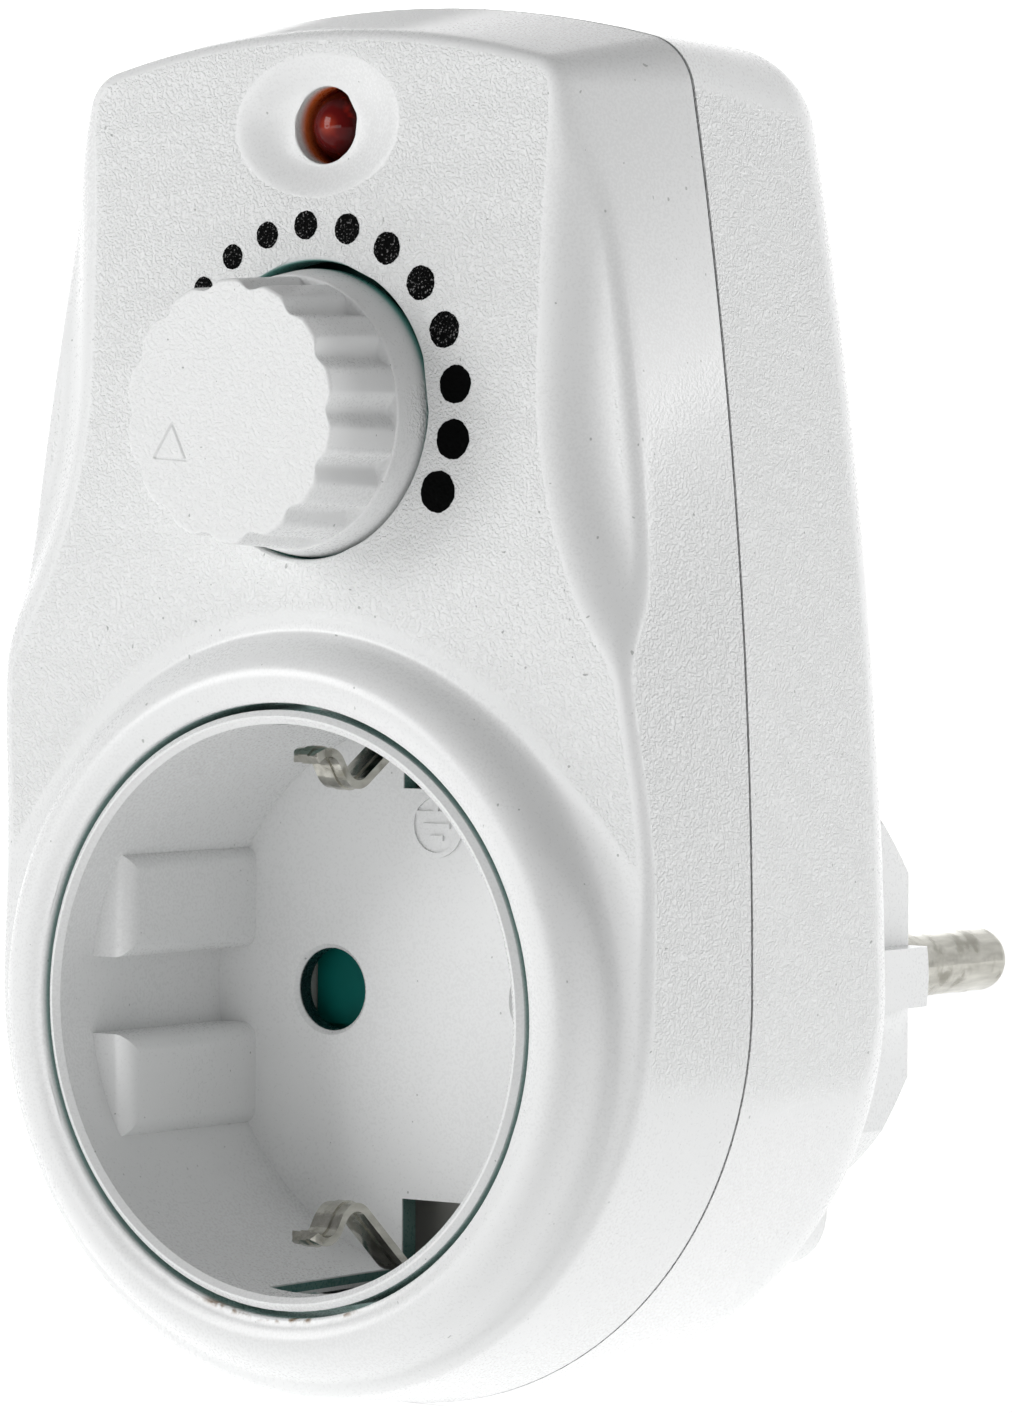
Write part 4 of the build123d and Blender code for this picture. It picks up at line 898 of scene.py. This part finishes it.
# Knob with soft flutes, a flange behind them and a fine triangle cut in its face
KNOB_FRONT, FLANGE_FRONT, KNOB_BACK = -62.2, -55.6, -52.1
KNOB_HEIGHT = 40.7
GRIP_FRONT, GRIP_ROOT, FLANGE_RADIUS = 8.9, 9.25, 9.85
GRIP_ROUND, ROOT_ROUND = 0.3, 0.3
GRIP_ROUND_STEPS, GRIP_STEPS, ROOT_ROUND_STEPS = 6, 12, 5
ROOT_LIP, ROOT_FADE, ROOT_SHARE = 0.02, 0.2, 0.4
# The flange's radius at its depths behind its front
FLANGE_PROFILE = [
    (9.31, 0.01),
    (9.36, 0.05),
    (9.39, 0.13),
    (9.42, 0.28),
    (9.52, 0.80),
    (9.63, 1.40),
    (9.74, 2.00),
    (9.80, 2.35),
    (9.84, 2.70),
    (9.85, 3.00),
]
FLUTES, FLUTE_FLOOR, FLUTE_REACH, FLUTE_TURN = 14, 8.35, 8.6, 0.3
POINTER_TURN, POINTER_CIRCLE, POINTER_SIDE = 206, 5.45, 3.1
POINTER_LINE, POINTER_DEPTH, POINTER_MARGIN, POINTER_STEPS = 0.2, 0.14, 0.12, 12
# How far the groove of the pointer falls and rises, as shares of its width
GROOVE_IN, GROOVE_OUT = 0.3, 0.7
KNOB_STEPS = 840
INNER_RIM, INNER_RIM_EVERY = 0.985, 4


def flute(degrees):
    """How deep the flutes are at a turn, from 0 on a crest to 1 in a valley."""
    step = 360 / FLUTES
    off = abs((degrees - FLUTE_TURN + step / 2) % step - step / 2)
    return 0.5 * (1 + math.cos(math.pi * off / FLUTE_REACH)) if off < FLUTE_REACH else 0.0


def knob_profile():
    """The knob's radius, depth and share of the flutes, from its face to its back."""
    profile = []
    for step in range(GRIP_ROUND_STEPS + 1):
        t = math.pi / 2 * step / GRIP_ROUND_STEPS
        reach = GRIP_FRONT - GRIP_ROUND * (1 - math.sin(t))
        profile.append((reach, KNOB_FRONT + GRIP_ROUND * (1 - math.cos(t)), 1.0))
    depth = FLANGE_FRONT - KNOB_FRONT
    for step in range(1, GRIP_STEPS + 1):
        share = step / GRIP_STEPS
        y = KNOB_FRONT + GRIP_ROUND + (depth - GRIP_ROUND - ROOT_ROUND) * share
        reach = GRIP_FRONT + (GRIP_ROOT - GRIP_FRONT) * (y - KNOB_FRONT) / depth
        profile.append((reach, y, 1.0))
    for step in range(1, ROOT_ROUND_STEPS + 1):
        t = math.pi / 2 * step / ROOT_ROUND_STEPS
        reach = GRIP_ROOT - ROOT_LIP * math.cos(t)
        share = 1 - ROOT_FADE * (1 - math.cos(t))
        profile.append((reach, FLANGE_FRONT - ROOT_ROUND * (1 - math.sin(t)), share))
    profile.append((GRIP_ROOT, FLANGE_FRONT, ROOT_SHARE))
    profile.append((GRIP_ROOT + ROOT_LIP, FLANGE_FRONT, 0.0))
    for reach, back in FLANGE_PROFILE:
        profile.append((reach, FLANGE_FRONT + back, 0.0))
    profile.append((FLANGE_RADIUS, KNOB_BACK, 0.0))
    return profile


def pointer_loops():
    """Six nested triangles with their depths, which make the pointer's groove."""
    cx = POINTER_CIRCLE * math.cos(math.radians(POINTER_TURN))
    cz = KNOB_HEIGHT + POINTER_CIRCLE * math.sin(math.radians(POINTER_TURN))
    outer = POINTER_SIDE / math.sqrt(3)
    wide = 2 * POINTER_LINE
    loops = []
    for radius, depth in (
        (outer + POINTER_MARGIN, 0.0),
        (outer, 0.0),
        (outer - GROOVE_IN * wide, POINTER_DEPTH),
        (outer - GROOVE_OUT * wide, POINTER_DEPTH),
        (outer - wide, 0.0),
        (outer - wide - POINTER_MARGIN, 0.0),
    ):
        loop = []
        for corner in range(3):
            a = math.radians(POINTER_TURN + 120 * corner)
            b = math.radians(POINTER_TURN + 120 * (corner + 1))
            for step in range(POINTER_STEPS):
                share = step / POINTER_STEPS
                across = math.cos(a) * (1 - share) + math.cos(b) * share
                along = math.sin(a) * (1 - share) + math.sin(b) * share
                loop.append((cx + radius * across, cz + radius * along))
        loops.append((loop, depth))
    return loops


def knob():
    """The knob as one skin: fluted grip, flange and back, and a face with its pointer."""
    profile = knob_profile()
    points, faces = [], []
    for reach, y, share in profile:
        for k in range(KNOB_STEPS):
            degrees = 360 * k / KNOB_STEPS
            radius = reach - (reach - FLUTE_FLOOR) * share * flute(degrees)
            turn = math.radians(degrees)
            points.append((radius * math.cos(turn), y, KNOB_HEIGHT + radius * math.sin(turn)))
    for row in range(len(profile) - 1):
        for k in range(KNOB_STEPS):
            here, there = row * KNOB_STEPS + k, row * KNOB_STEPS + (k + 1) % KNOB_STEPS
            faces.append((here, here + KNOB_STEPS, there + KNOB_STEPS, there))
    last = (len(profile) - 1) * KNOB_STEPS
    points.append((0, KNOB_BACK, KNOB_HEIGHT))
    for k in range(KNOB_STEPS):
        faces.append((last + k, len(points) - 1, last + (k + 1) % KNOB_STEPS))

    rim = [(points[k][0], points[k][2]) for k in range(KNOB_STEPS)]
    flat_points, depths, loops = list(rim), [0.0] * KNOB_STEPS, [list(range(KNOB_STEPS))]
    inner_rim = [
        (x * INNER_RIM, KNOB_HEIGHT + (z - KNOB_HEIGHT) * INNER_RIM)
        for x, z in rim[::INNER_RIM_EVERY]
    ]
    flat_points += inner_rim
    depths += [0.0] * len(inner_rim)
    for loop, depth in pointer_loops():
        loops.append(list(range(len(flat_points), len(flat_points) + len(loop))))
        flat_points += loop
        depths += [depth] * len(loop)
    solved = delaunay_2d_cdt(
        [Vector(p) for p in flat_points], loop_edges(loops), [], 1, JOIN_REACH
    )
    base = len(points)
    place_of = {}
    for k, (p, sources) in enumerate(zip(solved[0], solved[3])):
        depth = depths[sources[0]] if sources else 0.0
        points.append((p.x, KNOB_FRONT + depth, p.y))
        for source in sources:
            place_of[source] = base + k
    for face in solved[2]:
        faces.append(tuple(base + k for k in face))
    for k in range(KNOB_STEPS):
        n = (k + 1) % KNOB_STEPS
        faces.append((k, n, place_of[n], place_of[k]))
    return points, faces


knob_piece = add_piece("ribbed_knob", *knob(), "knob", "white_plastic", "dimmer_knob")
tidy_mesh(knob_piece)


def area_light(name, place, target, width, height, power):
    """A white rectangular light that faces its target."""
    lamp = bpy.data.lights.new(name, "AREA")
    lamp.shape = "RECTANGLE"
    lamp.size = width
    lamp.size_y = height
    lamp.energy = power
    holder = bpy.data.objects.new(name, lamp)
    holder.location = place
    holder.rotation_euler = (Vector(target) - Vector(place)).to_track_quat("-Z", "Y").to_euler()
    bpy.context.scene.collection.objects.link(holder)


# Each light's name, place and target in metres, width, height and power in watts
MIDDLE = (0, -0.035, 0.02)
for light in (
    ("key", (-0.80, -1.05, 0.36), MIDDLE, 0.5, 0.5, 6.4),
    ("low_front", (-0.15, -0.95, -0.02), MIDDLE, 0.7, 0.2, 1.6),
    ("right_rear", (0.88, 0.58, 0.16), MIDDLE, 0.3, 0.6, 5.2),
    ("above", (-0.1, -0.35, 0.95), MIDDLE, 0.5, 0.5, 0.3),
    ("backdrop_wash", (-0.6, 0.6, 0.5), (-1.2, 1.7, 0.42), 0.8, 0.5, 10.0),
):
    area_light(*light)

WORLD_STRENGTH, BACKDROP_GLOW, BACKDROP_WHITE = 0.2, 0.48, (0.93, 0.93, 0.93)
world = bpy.data.worlds.new("studio")
world.use_nodes = True
world.node_tree.nodes["Background"].inputs["Color"].default_value = (1, 1, 1, 1)
world.node_tree.nodes["Background"].inputs["Strength"].default_value = WORLD_STRENGTH
bpy.context.scene.world = world


def backdrop_finish():
    """Matt white paint that glows a little, like a light table."""
    paint = surface("backdrop_paint", BACKDROP_WHITE, 0.85, 0.003, 3)
    shader = paint.node_tree.nodes["Principled BSDF"]
    shader.inputs["Emission Color"].default_value = (1, 1, 1, 1)
    shader.inputs["Emission Strength"].default_value = BACKDROP_GLOW
    return paint


# Pale floor that runs up into a pale wall far behind
REACH, BEND, WALL_TOP, HALF_WIDTH, BEND_STEPS = 1.2, 0.6, 4.0, 5.0, 12
profile = [(-REACH, FLOOR_Z)]
for step in range(BEND_STEPS + 1):
    t = math.pi / 2 * step / BEND_STEPS
    profile.append((REACH + BEND * math.sin(t), FLOOR_Z + BEND * (1 - math.cos(t))))
profile.append((REACH + BEND, WALL_TOP))
sweep_turn = Matrix.Rotation(-math.atan2(-CAMERA_BACK[0], -CAMERA_BACK[1]), 4, "Z")
backdrop_points = []
for side in (-HALF_WIDTH, HALF_WIDTH):
    backdrop_points += [sweep_turn @ Vector((side, y, z)) for y, z in profile]
rows = len(profile)
backdrop_mesh = bpy.data.meshes.new("backdrop")
backdrop_mesh.from_pydata(
    backdrop_points, [], [(k, k + 1, rows + k + 1, rows + k) for k in range(rows - 1)]
)
backdrop_mesh.polygons.foreach_set("use_smooth", [True] * len(backdrop_mesh.polygons))
backdrop = bpy.data.objects.new("backdrop", backdrop_mesh)
bpy.context.scene.collection.objects.link(backdrop)
backdrop_mesh.materials.append(backdrop_finish())

lens = bpy.data.cameras.new("photo_camera")
lens.sensor_width = SENSOR_WIDTH
lens.lens = CAMERA_LENS
lens.shift_x, lens.shift_y = CAMERA_SHIFT
lens.clip_start = CLIP_START
camera = bpy.data.objects.new("photo_camera", lens)
turn = Matrix((CAMERA_RIGHT, CAMERA_UP, CAMERA_BACK)).transposed().to_4x4()
camera.matrix_world = Matrix.Translation(CAMERA_PLACE) @ turn
bpy.context.scene.collection.objects.link(camera)
bpy.context.scene.camera = camera
bpy.context.scene.view_settings.view_transform = "Standard"
